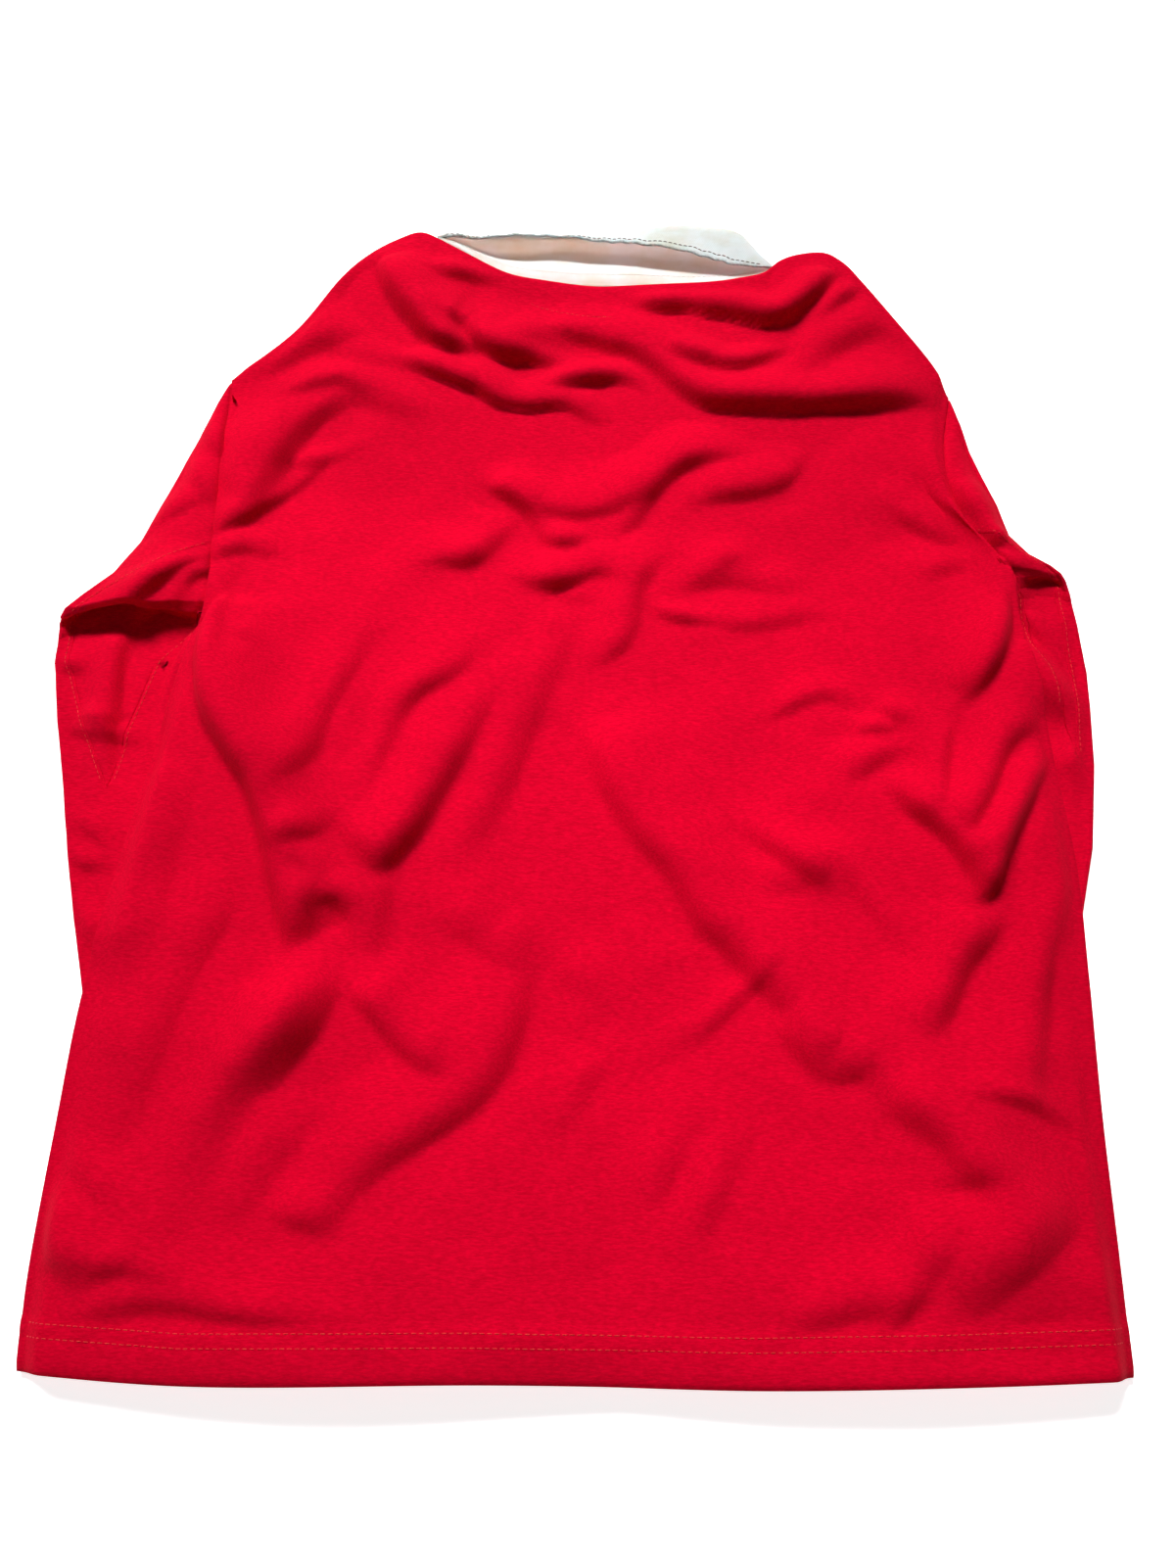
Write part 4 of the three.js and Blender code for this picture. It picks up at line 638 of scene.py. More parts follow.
def patch(bottom, top, left, right, resting):
    """A grid filled in between four edge rows; away from raised edges it lies at resting."""
    v = np.linspace(0, 1, len(left))[:, None]
    u = np.linspace(0, 1, len(bottom))[None, :]
    corners = [left[0], right[0], left[-1], right[-1]]

    def blend(c, west, east, south, north):
        sides = left[:, None, c] * west + right[:, None, c] * east
        ends = bottom[None, :, c] * south + top[None, :, c] * north
        low = (corners[0][c] * west + corners[1][c] * east) * south
        high = (corners[2][c] * west + corners[3][c] * east) * north
        return sides + ends - low - high

    near_left, near_right = 1 - smooth(u / SIDE_SETTLE), 1 - smooth((1 - u) / SIDE_SETTLE)
    near_hem, near_top = 1 - smooth(v / TOP_SETTLE), 1 - smooth((1 - v) / TOP_SETTLE)
    edge = 1 - (1 - near_left - near_right) * (1 - near_hem - near_top)
    x = blend(0, 1 - u, u, 1 - v, v)
    y = blend(1, 1 - u, u, 1 - v, v)
    z = blend(2, near_left, near_right, near_hem, near_top) + resting * (1 - edge)
    return np.stack([x, y, z], axis=-1)


def make_mesh(name, points, faces, look, nodes):
    """A smooth mesh piece from points in millimetres and a list of face arrays."""
    points = np.column_stack([points[:, :2], np.maximum(points[:, 2], 0)])
    places = (points + np.array([SHIFT_X, SHIFT_Y, 0])) / 1000
    sizes = np.concatenate([np.full(len(f), f.shape[1]) for f in faces])
    starts = np.concatenate([[0], np.cumsum(sizes)[:-1]])
    corners = np.concatenate([f.ravel() for f in faces])
    mesh = bpy.data.meshes.new(name)
    mesh.vertices.add(len(places))
    mesh.vertices.foreach_set("co", places.astype(np.float32).ravel())
    mesh.loops.add(len(corners))
    mesh.loops.foreach_set("vertex_index", corners.astype(np.int32))
    mesh.polygons.add(len(sizes))
    mesh.polygons.foreach_set("loop_start", starts.astype(np.int32))
    mesh.update(calc_edges=True)
    mesh.validate()
    mesh.shade_smooth()
    mesh.materials.append(materials[look])
    piece = bpy.data.objects.new(name, mesh)
    bpy.context.scene.collection.objects.link(piece)
    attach(piece, "root")
    if nodes:
        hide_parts(*nodes)
    return piece


def unit(vectors):
    """The same vectors with length 1."""
    return vectors / np.maximum(np.linalg.norm(vectors, axis=-1), 1e-9)[..., None]


def wall(grid, thickness, keep=None):
    """Points and faces of a closed wall with rounded edges on a grid of middle points."""
    flat = grid.reshape(-1, 3)
    keys = np.round(flat * 200).astype(np.int64)
    _, first, ids = np.unique(keys, axis=0, return_index=True, return_inverse=True)
    points = flat[first]
    ids = ids.reshape(grid.shape[:2])
    cells = np.stack([ids[:-1, :-1], ids[:-1, 1:], ids[1:, 1:], ids[1:, :-1]], axis=-1)
    cells = cells[keep] if keep is not None else cells.reshape(-1, 4)

    # Where one side of a cell has shrunk to a point, three corners are left
    shut = cells == np.roll(cells, -1, axis=1)
    across = (cells[:, 0] == cells[:, 2]) | (cells[:, 1] == cells[:, 3])
    quads = cells[~shut.any(axis=1) & ~across]
    once = shut.sum(axis=1) == 1
    triples = np.vstack([np.delete(cells[once & shut[:, k]], min(k + 1, 3), axis=1) for k in range(4)])

    normals = np.zeros_like(points)
    for polygons, (a, b, c, d) in ((quads, (0, 2, 1, 3)), (triples, (0, 1, 0, 2))):
        p = points[polygons]
        facing = np.cross(p[:, b] - p[:, a], p[:, d] - p[:, c])
        for k in range(polygons.shape[1]):
            np.add.at(normals, polygons[:, k], facing)
    normals = unit(normals)

    edges = [quads[:, [k, (k + 1) % 4]] for k in range(4)]
    edges = np.vstack(edges + [triples[:, [k, (k + 1) % 3]] for k in range(3)])
    count = len(points)
    ways, backs = edges @ (count, 1), edges @ (1, count)
    border = edges[~np.isin(ways, backs)]
    p, q = border.T
    outward = np.zeros_like(points)
    away = np.cross(points[q] - points[p], normals[p])
    np.add.at(outward, p, away)
    np.add.at(outward, q, away)
    half = normals * thickness / 2
    rim_ids = np.unique(border)
    rim_of = np.zeros(count, int)
    rim_of[rim_ids] = 2 * count + np.arange(len(rim_ids))
    rim = points[rim_ids] + unit(outward)[rim_ids] * thickness * 0.35
    faces = [quads, quads[:, ::-1] + count]
    if len(triples):
        faces += [triples, triples[:, ::-1] + count]
    faces.append(np.stack([q, p, rim_of[p], rim_of[q]], axis=1))
    faces.append(np.stack([rim_of[q], rim_of[p], p + count, q + count], axis=1))
    return np.vstack([points + half, points - half, rim]), faces


def add_cloth(name, grid, node, look="jersey", thickness=JERSEY, keep=None):
    """A sheet of cloth, kept in pieces under its name."""
    points, faces = wall(grid, thickness, keep)
    make_mesh(f"{name}_cloth", points, faces, look, [node])


def sleeve_rings(table, count):
    """Named columns of a sleeve table, spread over count rings and eased at the table's rows."""
    rows = np.array(table, float)
    place = np.minimum(np.linspace(0, 1, count), 0.999999) * (len(table) - 1)
    low = place.astype(int)
    share = place - low
    share = smooth(share) * 0.35 + share * 0.65
    values = mix(rows[low], rows[low + 1], share[:, None])
    return {name: values[:, k][:, None] for k, name in enumerate(SLEEVE_COLUMNS)}


def sleeve_grids(table, outward, folds, edge):
    """The sheet of a sleeve with its gusset's, as grids a ring a row, and where the seams run.

    Edge is the back's own edge on that side, which the sleeve follows down to the armpit.
    """
    ring = sleeve_rings(table, SLEEVE_RINGS)
    follow = smooth((ring["iy"] - table[ARMPIT_ROW][4]) / 8)
    ring["ix"] = mix(ring["ix"], np.interp(ring["iy"], edge[:, 1], edge[:, 0]) + outward * SEAM, follow)
    width = np.maximum(np.abs(ring["ix"] - ring["ox"]), 0.6)
    rise = np.maximum(0.6, np.minimum((ring["oz"] - FLOOR_LAYER) * 0.45, ring["iz"] - ring["oz"]))
    tip = table[0][1]

    before = (np.arange(SLEEVE_RINGS) < ARMPIT_ROW / (len(table) - 1) * (SLEEVE_RINGS - 1))[:, None]
    tucked = np.where(before & (ring["end"] > 0.99), ARMHOLE_TUCK / np.maximum(width, 1), 0)

    def on_top(w):
        reach = w * mix(0.6, 1, smooth(w / 0.35))
        bow = 4 * w * (1 - w)
        x = mix(ring["ox"], ring["ix"], w)
        y = mix(ring["oy"], ring["iy"], reach) + ring["tuck"] * bow * (1.5 - w)
        z = mix(ring["oz"] + rise, ring["iz"], smooth(w * 1.15))
        z = z + ring["crown"] * bow * (1.25 - 0.5 * w)
        z = z + read_raster(folds, x, y) * smooth(w / 0.12) * smooth((tip - y) / 20)
        z = z - smooth(((w - 1) * width + 2) / 3) * (JERSEY + SEAM + 0.3) * before
        return np.stack([x, y, np.maximum(z, FLOOR_LAYER)], axis=-1)

    w = np.linspace(1, 0.06, UNDER_STEPS + 1)[None, :]
    lifted = mix(FLOOR_LAYER, ring["bz"], smooth((w - 0.5) / 0.5))
    under = np.stack([mix(ring["ox"], ring["bx"], w), mix(ring["oy"], ring["by"], w), lifted], axis=-1)

    def arc(start, end, steps, way, bulge):
        angle = np.arange(1, steps + 1)[None, :, None] / (steps + 1) * math.pi
        points = mix(start, end, (1 - np.cos(angle)) / 2)
        points[..., 0] += way * np.sin(angle[..., 0]) * bulge
        return points

    shares = np.linspace(0, 1, OUTER_STEPS + 1)[None, :]
    spare = np.maximum(0, (ring["end"] - ring["start"]) / 3)
    clearance = np.minimum(1.1 * SEAM / width, spare)
    whole = (ring["start"] > 0.99) & before
    outer = on_top(mix(0.05, ring["start"] - clearance + np.where(whole, tucked / 2, 0), shares))
    turn = arc(under[:, -1:], outer[:, :1], TURN_STEPS, outward, np.minimum(2.4, width * 0.08))
    shares = np.linspace(0, 1, INNER_STEPS + 1)[None, :]
    inner_start = np.where(whole, 1 + tucked / 2, np.minimum(1, ring["end"] + clearance) + tucked)
    inner = on_top(mix(inner_start, 1 + tucked + 0.001, shares))
    closing = arc(inner[:, -1:], under[:, :1], INNER_TURN_STEPS, -outward, np.minimum(1.2, width * 0.08))
    sheet = np.concatenate([under, turn, outer, inner, closing, under[:, :1]], axis=1)
    shares = np.linspace(0, 1, GUSSET_STEPS + 1)[None, :]
    start = ring["start"] + clearance
    end = np.minimum(ring["end"], 1 - 0.7 * JERSEY / width) - clearance + tucked
    gusset = on_top(mix(start, np.maximum(start, end), shares))
    seam_open = (ring["end"] - ring["start"])[:, 0] > 1e-6
    return {
        "sheet": sheet,
        "gusset": gusset,
        "seam_open": seam_open,
        "outer_seam": on_top(ring["start"] - SEAM_ROW / width)[:, 0],
        "inner_seam": on_top(np.minimum(0.97, ring["end"] + SEAM_ROW / width))[:, 0],
        "inner_free": ((ring["end"] < 0.95) & (ring["end"] > ring["start"] + 0.02))[:, 0],
    }


def add_sleeve(side, grids):
    """The sleeve's sheet, left open along the gusset's seams and at the armhole, and its gusset."""
    open_cell = grids["seam_open"][:-1] | grids["seam_open"][1:]
    rows, columns = grids["sheet"].shape[0] - 1, grids["sheet"].shape[1] - 1
    seam_cell = UNDER_STEPS + TURN_STEPS + 1 + OUTER_STEPS
    armpit = round(ARMPIT_ROW / (len(SLEEVE_LEFT) - 1) * rows)
    keep = np.ones((rows, columns), bool)
    keep[open_cell, seam_cell] = False
    keep[:armpit, seam_cell + 1 + INNER_STEPS :] = False
    add_cloth(f"{side}_sleeve", grids["sheet"], f"sleeve_{side}", keep=keep)
    inside = np.repeat(open_cell[:, None], GUSSET_STEPS, axis=1)
    add_cloth(f"{side}_gusset", grids["gusset"], f"gusset_{side}", keep=inside)


def cuff_grid(table):
    """The flattened tube of a cuff, its ribs raised, a ring a row."""
    last = dict(zip(SLEEVE_COLUMNS, table[-1]))
    top = last["oy"] - 2 * SEAM - JERSEY / 2
    low = min(last["ox"], last["ix"]) + CUFF_TAPER
    high = max(last["ox"], last["ix"]) - CUFF_TAPER
    middle = (FLOOR_LAYER + SECOND_LAYER) / 2
    turn = SECOND_LAYER - middle
    across = np.linspace(low, high, 81)
    bend = np.linspace(-90, 90, 7)[1:-1] * math.pi / 180
    x = [across, high + turn * np.cos(bend), across[::-1], low - turn * np.cos(bend), across[:1]]
    z = [np.full(81, FLOOR_LAYER), middle + turn * np.sin(bend),
         np.full(81, SECOND_LAYER), middle - turn * np.sin(bend), [FLOOR_LAYER]]
    x, z = np.concatenate(x), np.concatenate(z)
    z = z + 0.12 * np.sin(np.arange(len(x)) * math.pi / 2) * (z > middle)
    y = top - np.linspace(0, CUFF_LENGTH, 25)
    return np.stack(np.broadcast_arrays(x[None], y[:, None], z[None]), axis=-1)


def placket_grid():
    x = PLACKET_X + PLACKET_WIDTH * np.linspace(-0.5, 0.5, 21)
    y = FRONT_NECK_Y - 3 - PLACKET_LENGTH * np.linspace(1, 0, 91)
    x, y = np.meshgrid(x, y)
    z = np.full(x.shape, FLOOR_LAYER)
    for k in range(BUTTON_COUNT):
        centre = FRONT_NECK_Y - BUTTON_TOP_MARGIN - k * BUTTON_SPACING
        away = np.maximum(0, np.hypot(x - PLACKET_X, y - centre) - BUTTON_DIAMETER / 2 - 1.5)
        z = np.maximum(z, BUTTON_THICKNESS + SEAM + JERSEY / 2 - 0.35 * away)
    return np.stack([x, y, z], axis=-1)


def collar_front_grids():
    """Front halves of the collar, from the neckline out to the free edge, under the front."""
    grids = {}
    for name, rows in (("left", FRONT_NECK[:4]), ("right", FRONT_NECK[5:])):
        roll = curve([(x, y, max(FLOOR_LAYER, z - ROLL_DROP)) for x, y, z, _, _, _ in rows], 61)
        edge = curve([(x, y, z) for _, _, _, x, y, z in rows], 61)
        shares = np.linspace(0, 1, 25)[:, None, None]
        grid = mix(roll[None], edge[None], shares)
        grid[..., 2] = np.maximum(FLOOR_LAYER, grid[..., 2])
        grids[name] = grid
    return grids


def front_edge(table, armpit):
    drop = JERSEY + SEAM + 0.2
    ups, heights = zip(*FRONT_ARMHOLE)
    rows = []
    for x, y, z in table:
        up = y - armpit
        lowered = min(z - drop, FRONT_ARMHOLE[0][1]) if up < 0 else np.interp(up, ups, heights)
        rows.append((x, y, max(FLOOR_LAYER, lowered)))
    return rows


def front_grid(rows, columns):
    shoulder = [(x, y + 1, z - JERSEY - SEAM - 0.5) for x, y, z in BACK_TOP]
    neck = [row[:3] for row in FRONT_NECK]
    before = [row for row in shoulder if row[0] <= FRONT_NECK[0][0] - 2]
    after = [row for row in shoulder if row[0] > FRONT_NECK[-1][0]][1:]
    top = curve(before + neck + after, columns + 1)
    left = curve(front_edge(BACK_LEFT[:-1], ARMPIT_LEFT_Y) + [tuple(top[0])], rows + 1)
    right = curve(front_edge(BACK_RIGHT[:-1], ARMPIT_RIGHT_Y) + [tuple(top[-1])], rows + 1)
    bottom = curve([(x, y, FLOOR_LAYER) for x, y in HEM], columns + 1)
    grid = patch(bottom, top, left, right, FLOOR_LAYER)
    grid[..., 2] = np.maximum(FLOOR_LAYER, grid[..., 2])
    return grid


def edge_mask(u, v, y, armpit_left, armpit_right):
    """How far the folds act: not at the hem, the shoulders and the free side edges."""
    rim = 0.028
    low_left = 1 - smooth((y - armpit_left + 6) / 16)
    low_right = 1 - smooth((y - armpit_right + 6) / 16)
    left = mix(1, smooth(u / rim), low_left)
    right = mix(1, smooth((1 - u) / rim), low_right)
    hem = smooth(v / 0.035)
    shoulder = smooth((1 - v) / 0.03)
    return left * right * hem * shoulder


def back_grid(rows, columns):
    bottom = curve([(x, y, BACK_REST) for x, y in HEM], columns + 1)
    top = curve(BACK_TOP, columns + 1)
    left = curve(BACK_LEFT, rows + 1)
    right = curve(BACK_RIGHT, rows + 1)
    return patch(bottom, top, left, right, BACK_REST)


def start_material(name, numbers):
    """A node material with plain numbers on its shader, and its own places for textures."""
    material = bpy.data.materials.new(name)
    material.use_nodes = True
    tree = material.node_tree
    tree.nodes.new("ShaderNodeTexCoord").name = "Places"
    for socket, value in numbers.items():
        tree.nodes["Principled BSDF"].inputs[socket].default_value = value
    return material, tree


def finish_material(material, colour, normal=None):
    tree = material.node_tree
    shader = tree.nodes["Principled BSDF"]
    tree.links.new(colour, shader.inputs["Base Color"])
    if normal is not None:
        tree.links.new(normal, shader.inputs["Normal"])
    return material


def threes(value):
    """A value for each axis or colour channel: one number stands for three."""
    return value if isinstance(value, tuple) else (value, value, value)


def add_noise(tree, scale, detail, roughness=0.5):
    """Noise stretched by a scale for each axis, in bumps a metre."""
    mapping = tree.nodes.new("ShaderNodeMapping")
    mapping.inputs["Scale"].default_value = threes(scale)
    tree.links.new(tree.nodes["Places"].outputs["Object"], mapping.inputs["Vector"])
    texture = tree.nodes.new("ShaderNodeTexNoise")
    texture.inputs["Scale"].default_value = 1
    texture.inputs["Detail"].default_value = detail
    texture.inputs["Roughness"].default_value = roughness
    tree.links.new(mapping.outputs["Vector"], texture.inputs["Vector"])
    return texture.outputs["Fac"]


def add_ramp(tree, value, low, high, dark, light):
    """Colour from dark to light as value goes from low to high."""
    ramp = tree.nodes.new("ShaderNodeValToRGB")
    first, second = ramp.color_ramp.elements
    first.position, second.position = low, high
    first.color = (*threes(dark), 1)
    second.color = (*threes(light), 1)
    tree.links.new(value, ramp.inputs["Fac"])
    return ramp.outputs["Color"]


def add_product(tree, a, b):
    node = tree.nodes.new("ShaderNodeMix")
    node.data_type = "RGBA"
    node.blend_type = "MULTIPLY"
    node.inputs["Factor"].default_value = 1
    tree.links.new(a, node.inputs["A"])
    tree.links.new(b, node.inputs["B"])
    return node.outputs["Result"]


def add_bump(tree, height, strength, distance, below=None):
    bump = tree.nodes.new("ShaderNodeBump")
    bump.inputs["Strength"].default_value = strength
    bump.inputs["Distance"].default_value = distance
    tree.links.new(height, bump.inputs["Height"])
    if below is not None:
        tree.links.new(below, bump.inputs["Normal"])
    return bump.outputs["Normal"]


JERSEY_RED = (0.8, 0.0, 0.027)
JERSEY_DARK = (0.61, 0.0, 0.018)


def jersey_material():
    """Heavy cotton jersey: slub flecks along the courses, fine knit, soft nap."""
    material, tree = start_material("red_jersey", {
        "Roughness": 0.95, "Specular IOR Level": 0.04,
        "Sheen Weight": 0.1, "Sheen Roughness": 0.5, "Sheen Tint": (1, 0.02, 0.06, 1),
    })
    flecks = add_noise(tree, (210, 950, 950), 4, 0.62)
    base = add_ramp(tree, flecks, 0.36, 0.64, JERSEY_DARK, JERSEY_RED)
    threads = add_noise(tree, (420, 1700, 1700), 2)
    patches = add_noise(tree, 9, 3)
    colour = add_product(tree, base, add_ramp(tree, threads, 0.3, 0.7, 0.86, 1))
    colour = add_product(tree, colour, add_ramp(tree, patches, 0.3, 0.7, 0.94, 1))
    slub = add_bump(tree, add_noise(tree, (90, 420, 420), 3), 0.35, 0.0006)
    knit = add_bump(tree, add_noise(tree, (700, 1400, 1400), 2), 0.3, 0.0004, slub)
    return finish_material(material, colour, knit)


def twill_material():
    """White cotton twill, yellowed in places."""
    material, tree = start_material("white_twill", {
        "Roughness": 0.85, "Specular IOR Level": 0.15,
        "Subsurface Weight": 0.6, "Subsurface Radius": (1, 0.62, 0.58), "Subsurface Scale": 0.014,
    })
    patches = add_noise(tree, 26, 5, 0.6)
    base = add_ramp(tree, patches, 0.42, 0.66, (0.77, 0.765, 0.755), (0.66, 0.61, 0.5))
    weave = tree.nodes.new("ShaderNodeTexWave")
    weave.wave_type = "BANDS"
    weave.bands_direction = "DIAGONAL"
    weave.inputs["Scale"].default_value = 420
    weave.inputs["Distortion"].default_value = 1.5
    tree.links.new(tree.nodes["Places"].outputs["Object"], weave.inputs["Vector"])
    ribs = weave.outputs["Fac"]
    colour = add_product(tree, base, add_ramp(tree, ribs, 0, 1, 0.93, 1))
    crumple = add_bump(tree, add_noise(tree, 160, 3), 0.3, 0.0012)
    return finish_material(material, colour, add_bump(tree, ribs, 0.35, 0.0003, crumple))


def thread_material(name, light, dark):
    """Twisted sewing thread."""
    material, tree = start_material(name, {"Roughness": 0.6, "Specular IOR Level": 0.2})
    twist = add_noise(tree, 1500, 1)
    return finish_material(material, add_ramp(tree, twist, 0.35, 0.65, dark, light))


def rubber_material():
    """Dull off-white rubber with a little grime."""
    material, tree = start_material("button_rubber", {"Roughness": 0.55})
    grime = add_noise(tree, 300, 4)
    colour = add_ramp(tree, grime, 0.35, 0.7, (0.8, 0.78, 0.73), (0.7, 0.67, 0.6))
    return finish_material(material, colour, add_bump(tree, add_noise(tree, 1800, 2), 0.2, 0.0002))


def floor_material():
    """Pale matt paper that stays near white."""
    material, tree = start_material("paper_floor", {
        "Roughness": 0.9, "Emission Color": (1, 1, 1, 1), "Emission Strength": 0.8,
    })
    grain = add_noise(tree, 60, 3)
    return finish_material(material, add_ramp(tree, grain, 0.3, 0.7, 0.9, 0.93))


def to_scene(place):
    """A place in the shirt's frame, in Blender's metres."""
    x, y, z = place
    return Vector(((x + SHIFT_X) / 1000, (y + SHIFT_Y) / 1000, z / 1000))


def put_in_scene(name, data, place, aim):
    """An object at a place in the shirt's frame, looking at another."""
    thing = bpy.data.objects.new(name, data)
    bpy.context.scene.collection.objects.link(thing)
    thing.location = to_scene(place)
    thing.rotation_mode = "QUATERNION"
    thing.rotation_quaternion = (to_scene(aim) - to_scene(place)).to_track_quat("-Z", "Y")
    return thing


def add_camera():
    data = bpy.data.cameras.new("camera")
    data.lens = LENS
    data.sensor_width = SENSOR
    data.clip_start = 0.02
    bpy.context.scene.camera = put_in_scene("camera", data, CAMERA, AIM)


def add_light(name, place, aim, size, power, spread=180):
    data = bpy.data.lights.new(name, "AREA")
    data.spread = math.radians(spread)
    data.shape = "RECTANGLE"
    data.size, data.size_y = size
    data.energy = power
    put_in_scene(name, data, place, aim)


def add_world(strength):
    world = bpy.data.worlds.new("studio")
    world.use_nodes = True
    background = world.node_tree.nodes["Background"]
    background.inputs["Color"].default_value = (1, 1, 1, 1)
    background.inputs["Strength"].default_value = strength
    bpy.context.scene.world = world


def add_floor():
    size = 4.0
    mesh = bpy.data.meshes.new("floor")
    corners = [(-size, -size), (size, -size), (size, size), (-size, size)]
    mesh.from_pydata([(x, y, -0.0004) for x, y in corners], [], [(0, 1, 2, 3)])
    mesh.materials.append(floor_material())
    floor = bpy.data.objects.new("floor", mesh)
    bpy.context.scene.collection.objects.link(floor)
    return floor


STITCH_SIDES = 6
STITCH_RINGS = ((0, 0.3), (0.12, 0.8), (0.35, 1), (0.65, 1), (0.88, 0.8), (1, 0.3))


def stitch_row(line, length, gap, width):
    """Small rounded stitches along a line of places, which lie on the cloth."""
    steps = np.linalg.norm(np.diff(line, axis=0), axis=1)
    travel = np.concatenate([[0], np.cumsum(steps)])
    parts = []
    for start in np.arange(gap, travel[-1] - length, length + gap):
        ends = (start, start + length)
        a, b = (np.array([np.interp(e, travel, line[:, c]) for c in range(3)]) for e in ends)
        ahead = (b - a) / np.linalg.norm(b - a)
        across = np.cross((0, 0, 1), ahead)
        across /= max(np.linalg.norm(across), 1e-9)
        up = np.cross(ahead, across)
        for share, radius in STITCH_RINGS:
            centre = mix(a, b, share) + up * 0.25 * math.sin(share * math.pi)
            for k in range(STITCH_SIDES):
                angle = 2 * math.pi * k / STITCH_SIDES
                side = across * math.cos(angle) + up * math.sin(angle) * 0.7
                parts.append(centre + side * radius * width / 2)
    return np.array(parts).reshape(-1, 3)


def add_stitches(name, rows, look):
    """All the stitches of one place joined in one mesh."""
    points = np.vstack(rows)
    rings = len(STITCH_RINGS)
    each = rings * STITCH_SIDES
    base = np.arange(len(points) // each)[:, None] * each
    sides = np.arange(STITCH_SIDES)
    a, b = sides, (sides + 1) % STITCH_SIDES
    ring = np.stack([a, b, b + STITCH_SIDES, a + STITCH_SIDES], axis=1)
    quads = np.concatenate([ring + r * STITCH_SIDES for r in range(rings - 1)])
    quads = (base[:, :, None] + quads[None]).reshape(-1, 4)
    first = base + sides[None, ::-1]
    last = base + each - STITCH_SIDES + sides[None]
    make_mesh(name, points, [quads, first, last], look, [])


def lay_on(grid, places, thickness=JERSEY):
    """Places on top of a grid's cloth above the given places."""
    flat = grid.reshape(-1, 3)
    out = []
    for x, y in places:
        away = (flat[:, 0] - x) ** 2 + (flat[:, 1] - y) ** 2
        near = np.argpartition(away, 6)[:6]
        share = 1 / (away[near] + 0.05)
        out.append((x, y, float((flat[near, 2] * share).sum() / share.sum()) + thickness / 2))
    return np.array(out)


# Camera and soft light: a far window beyond the collar, to the left, and a weak fill from above
add_camera()
add_world(0.065)
add_light("window", (-825, 2625, 2890), aim=(-30, 450, 0), size=(1.1, 1.1), power=6.3, spread=22)
add_light("fill", (0, 480, 1500), aim=(0, 420, 0), size=(1.6, 1.6), power=0.45)
floor = add_floor()
bpy.context.scene.view_settings.view_transform = "Standard"

materials = {
    "jersey": jersey_material(),
    "twill": twill_material(),
    "hem_thread": thread_material("hem_thread", (0.8, 0.045, 0.035), (0.62, 0.01, 0.02)),
    "red_thread": thread_material("red_thread", (0.8, 0.035, 0.03), (0.6, 0.01, 0.015)),
    "white_thread": thread_material("white_thread", (0.8, 0.78, 0.73), (0.66, 0.62, 0.55)),
    "dark_thread": thread_material("dark_thread", (0.2, 0.12, 0.1), (0.1, 0.05, 0.045)),
    "rubber": rubber_material(),
}

xs, ys = raster_axes()
flat_folds = np.zeros(RASTER_SIZE[::-1])
back = back_grid(BACK_ROWS, BACK_COLUMNS)

# Height of the lying cloth before its folds, over the whole raster
base = top_raster([back] + [sleeve_grids(t, w, flat_folds, back[:, c])["sheet"]
                            for t, w, c in ((SLEEVE_LEFT, -1, 0), (SLEEVE_RIGHT, 1, -1))], 0)
base = blur(tent(base, 3, 0.5), 4)
undulation = sum(noise(*bumps) for bumps in UNDULATION)
folds = fold_heights(base, FOLDS) + undulation
sleeve_folds = fold_heights(base, SLEEVE_FOLDS)

# The hem is turned up: double cloth, pulled in along its two rows of stitches
grid_x, grid_y = np.meshgrid(xs, ys)
hem_y = grid_y - np.interp(grid_x, *zip(*HEM))
pucker = noise(2.6, 1) * np.exp(-(((hem_y - 17) / 7) ** 2))
slant = np.sin((grid_x + 0.9 * hem_y + 9 * np.sin(grid_x / 41)) / 3.1)
slant *= np.exp(-(((hem_y - 12) / 7) ** 2))
hem_rise = HEM_RISE * (1 - smooth((hem_y - HEM_TURN) / 4.5)) * smooth((hem_y + 1) / 5)
ditch = sum(np.exp(-(((hem_y - up) / 1.3) ** 2)) for up in HEM_STITCHES)
hem_height = hem_rise + 0.28 * pucker + 0.16 * slant - 0.35 * ditch

sleeves = {
    "left": sleeve_grids(SLEEVE_LEFT, -1, folds + sleeve_folds, back[:, 0]),
    "right": sleeve_grids(SLEEVE_RIGHT, 1, folds + sleeve_folds, back[:, -1]),
}
cuffs = {"left": cuff_grid(SLEEVE_LEFT), "right": cuff_grid(SLEEVE_RIGHT)}
collar_fronts = collar_front_grids()
placket = placket_grid()

# The front lies over the lower sleeves, cuffs, collar fronts and placket, the back over the front
lower = round(LOWER_ROW / (len(SLEEVE_LEFT) - 1) * (SLEEVE_RINGS - 1))
beneath = [grids["sheet"][lower:] for grids in sleeves.values()]
beneath += [*cuffs.values(), *collar_fronts.values(), placket]
under_front = tent(top_raster(beneath, JERSEY), 3, TENT_SLOPE)
front = front_grid(FRONT_ROWS, FRONT_COLUMNS)
clear = read_raster(under_front, front[..., 0], front[..., 1]) + SEAM + JERSEY / 2
front[..., 2] = np.maximum(front[..., 2], clear)
under_back = top_raster([front], JERSEY)
soft_under = blur(tent(under_back, 9, 0.1), 6)
under_back = tent(under_back, 3, TENT_SLOPE)

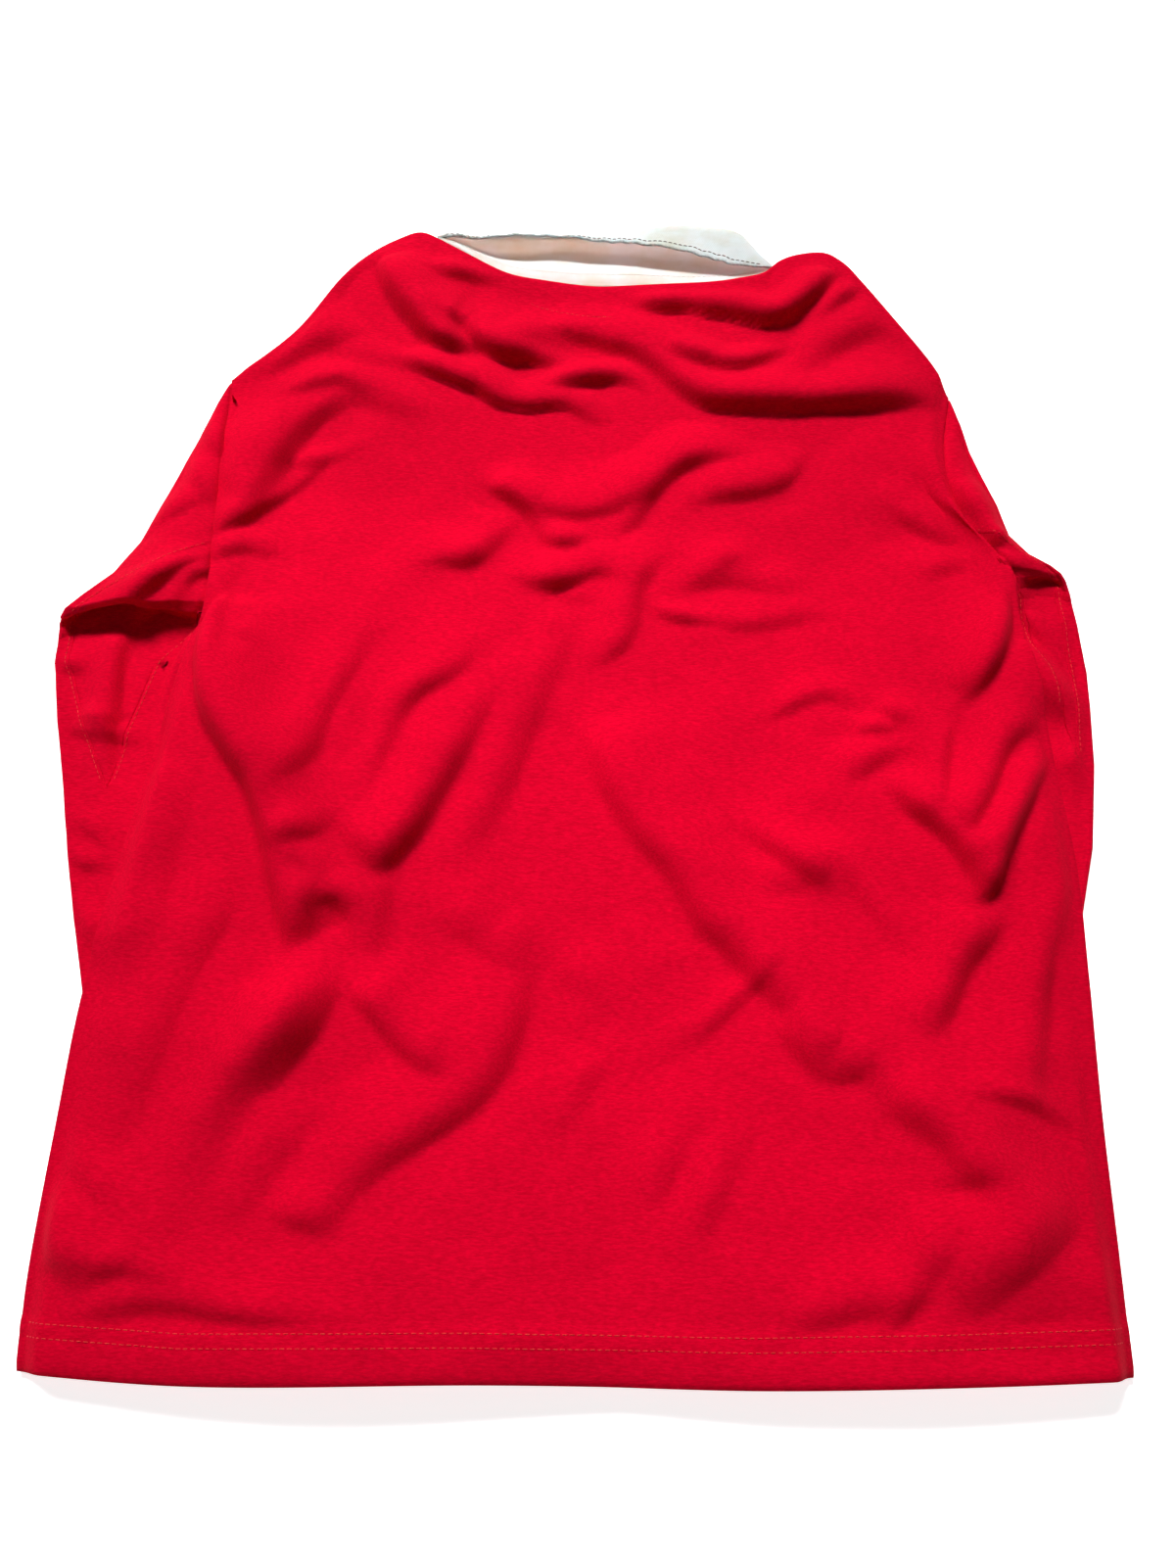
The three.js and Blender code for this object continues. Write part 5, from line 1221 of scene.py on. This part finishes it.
u = np.linspace(0, 1, BACK_COLUMNS + 1)[None, :]
v = np.linspace(0, 1, BACK_ROWS + 1)[:, None]
inner = smooth(u / 0.03) * smooth((1 - u) / 0.03)  # away from the side edges
mask = edge_mask(u, v, back[..., 1], ARMPIT_LEFT_Y, ARMPIT_RIGHT_Y)
lofts = np.interp(back[..., 1], *zip(*BACK_LOFT))
hard = read_raster(under_back, back[..., 0], back[..., 1]) + SEAM + JERSEY / 2
soft = read_raster(soft_under, back[..., 0], back[..., 1]) + SEAM + JERSEY / 2
back[..., 2] = np.maximum(back[..., 2] + lofts * inner, mix(hard, soft, inner))

# Its folds, held clear of what lies beneath, and the hem
waves = read_raster(folds, back[..., 0], back[..., 1])
low = np.maximum(hard, back[..., 2] - 3)
back[..., 2] = np.maximum(back[..., 2] + waves * mask, low)
crest = np.maximum(back[..., 2] - CREST_START, 0)
back[..., 2] += CREST_ROOM * np.tanh(crest / CREST_ROOM) - crest
back[..., 2] += read_raster(hem_height, back[..., 0], back[..., 1])

add_cloth("back", back, "back")
add_cloth("front", front, "front")
for side, grids in sleeves.items():
    add_sleeve(side, grids)
    add_cloth(f"{side}_cuff", cuffs[side], f"cuff_{side}")
    add_cloth(f"{side}_collar_front", collar_fronts[side], f"collar_front_{side}", "twill")
add_cloth("placket", placket, "placket", "twill")

# Collar: its free edge waves a little between the stitches
strips = [curve(places, COLLAR_COLUMNS + 1) for places in zip(*COLLAR)]
collar = np.stack([curve(places, COLLAR_ROWS + 1) for places in zip(*strips)], axis=1)
along = np.linspace(0, 1, COLLAR_COLUMNS + 1)[None, :]
share = np.linspace(0, 1, COLLAR_ROWS + 1)[:, None]
ripple = np.sin(along * 96 + 2.2 * np.sin(along * 23)) * smooth((share - 0.8) / 0.2)
body = smooth(along / 0.08) * smooth((1 - along) / 0.08)
collar[..., 1] += 0.3 * ripple * body
collar[..., 2] += 0.35 * ripple * body
dents = read_raster(noise(9, 1), collar[..., 0], collar[..., 1] - 300)
collar[..., 2] += 0.5 * dents * body * smooth(share / 0.12)
collar[..., 2] = np.maximum(collar[..., 2], TWILL / 2)
add_cloth("collar", collar, "collar_back", "twill", thickness=TWILL)

# Stitches
hem_rows = []
for up in HEM_STITCHES:
    along_hem = np.linspace(HEM_LEFT + 3, HEM_RIGHT - 3, 700)
    places = [(x, np.interp(x, *zip(*HEM)) + up) for x in along_hem]
    hem_rows.append(stitch_row(lay_on(back[:24], places), *HEM_STITCH))
add_stitches("hem_stitches", hem_rows, "hem_thread")

for side, grids in sleeves.items():
    seam_rows = []
    seen = grids["seam_open"]
    for name, shown in (("outer_seam", seen), ("inner_seam", seen & grids["inner_free"])):
        line = grids[name][shown] + np.array([0, 0, JERSEY / 2 + 0.05])
        steps = np.linalg.norm(np.diff(line, axis=0), axis=1)
        for run in np.split(line, np.flatnonzero(steps > 6) + 1):
            if len(run) > 8:
                seam_rows.append(stitch_row(run, *SEAM_STITCH))
    add_stitches(f"{side}_sleeve_stitches", seam_rows, "red_thread")

# The half-moon patch inside the neck shows on the back as one row of stitches
half_moon = curve([(-42, 375), (-36, 371.5), (-24, 367.5), (-8, 364), (6, 362), (18, 362)], 120)
neck_row = lay_on(back[-60:], on_cloth(half_moon, top_raster([back], 0)))
add_stitches("neck_stitches", [stitch_row(neck_row, *NECK_STITCH)], "hem_thread")

# Collar stitches: one row just inside the free edge and one above the neckline. The edge itself is
# turned in and puckers between its stitches.
up = unit(np.cross(np.gradient(collar, axis=1), np.gradient(collar, axis=0)))
up *= np.sign(up[COLLAR_ROWS // 8, (COLLAR_COLUMNS + 1) // 2, 2]) * (TWILL / 2 + 0.05)
edge_row = stitch_row((collar - up)[COLLAR_ROWS - 3, 6:-8], *COLLAR_EDGE_STITCH)
add_stitches("collar_edge_stitches", [edge_row], "dark_thread")
add_stitches("collar_edge_roll", [stitch_row(collar[-1, 5:-5], *COLLAR_PUCKER)], "twill")
foot_row = stitch_row((collar + up)[8, 10:-10], *COLLAR_FOOT_STITCH)
add_stitches("collar_neck_stitches", [foot_row], "white_thread")

for k in range(BUTTON_COUNT):
    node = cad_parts[f"button_{k + 1}"]
    node.data.materials.clear()
    node.data.materials.append(materials["rubber"])
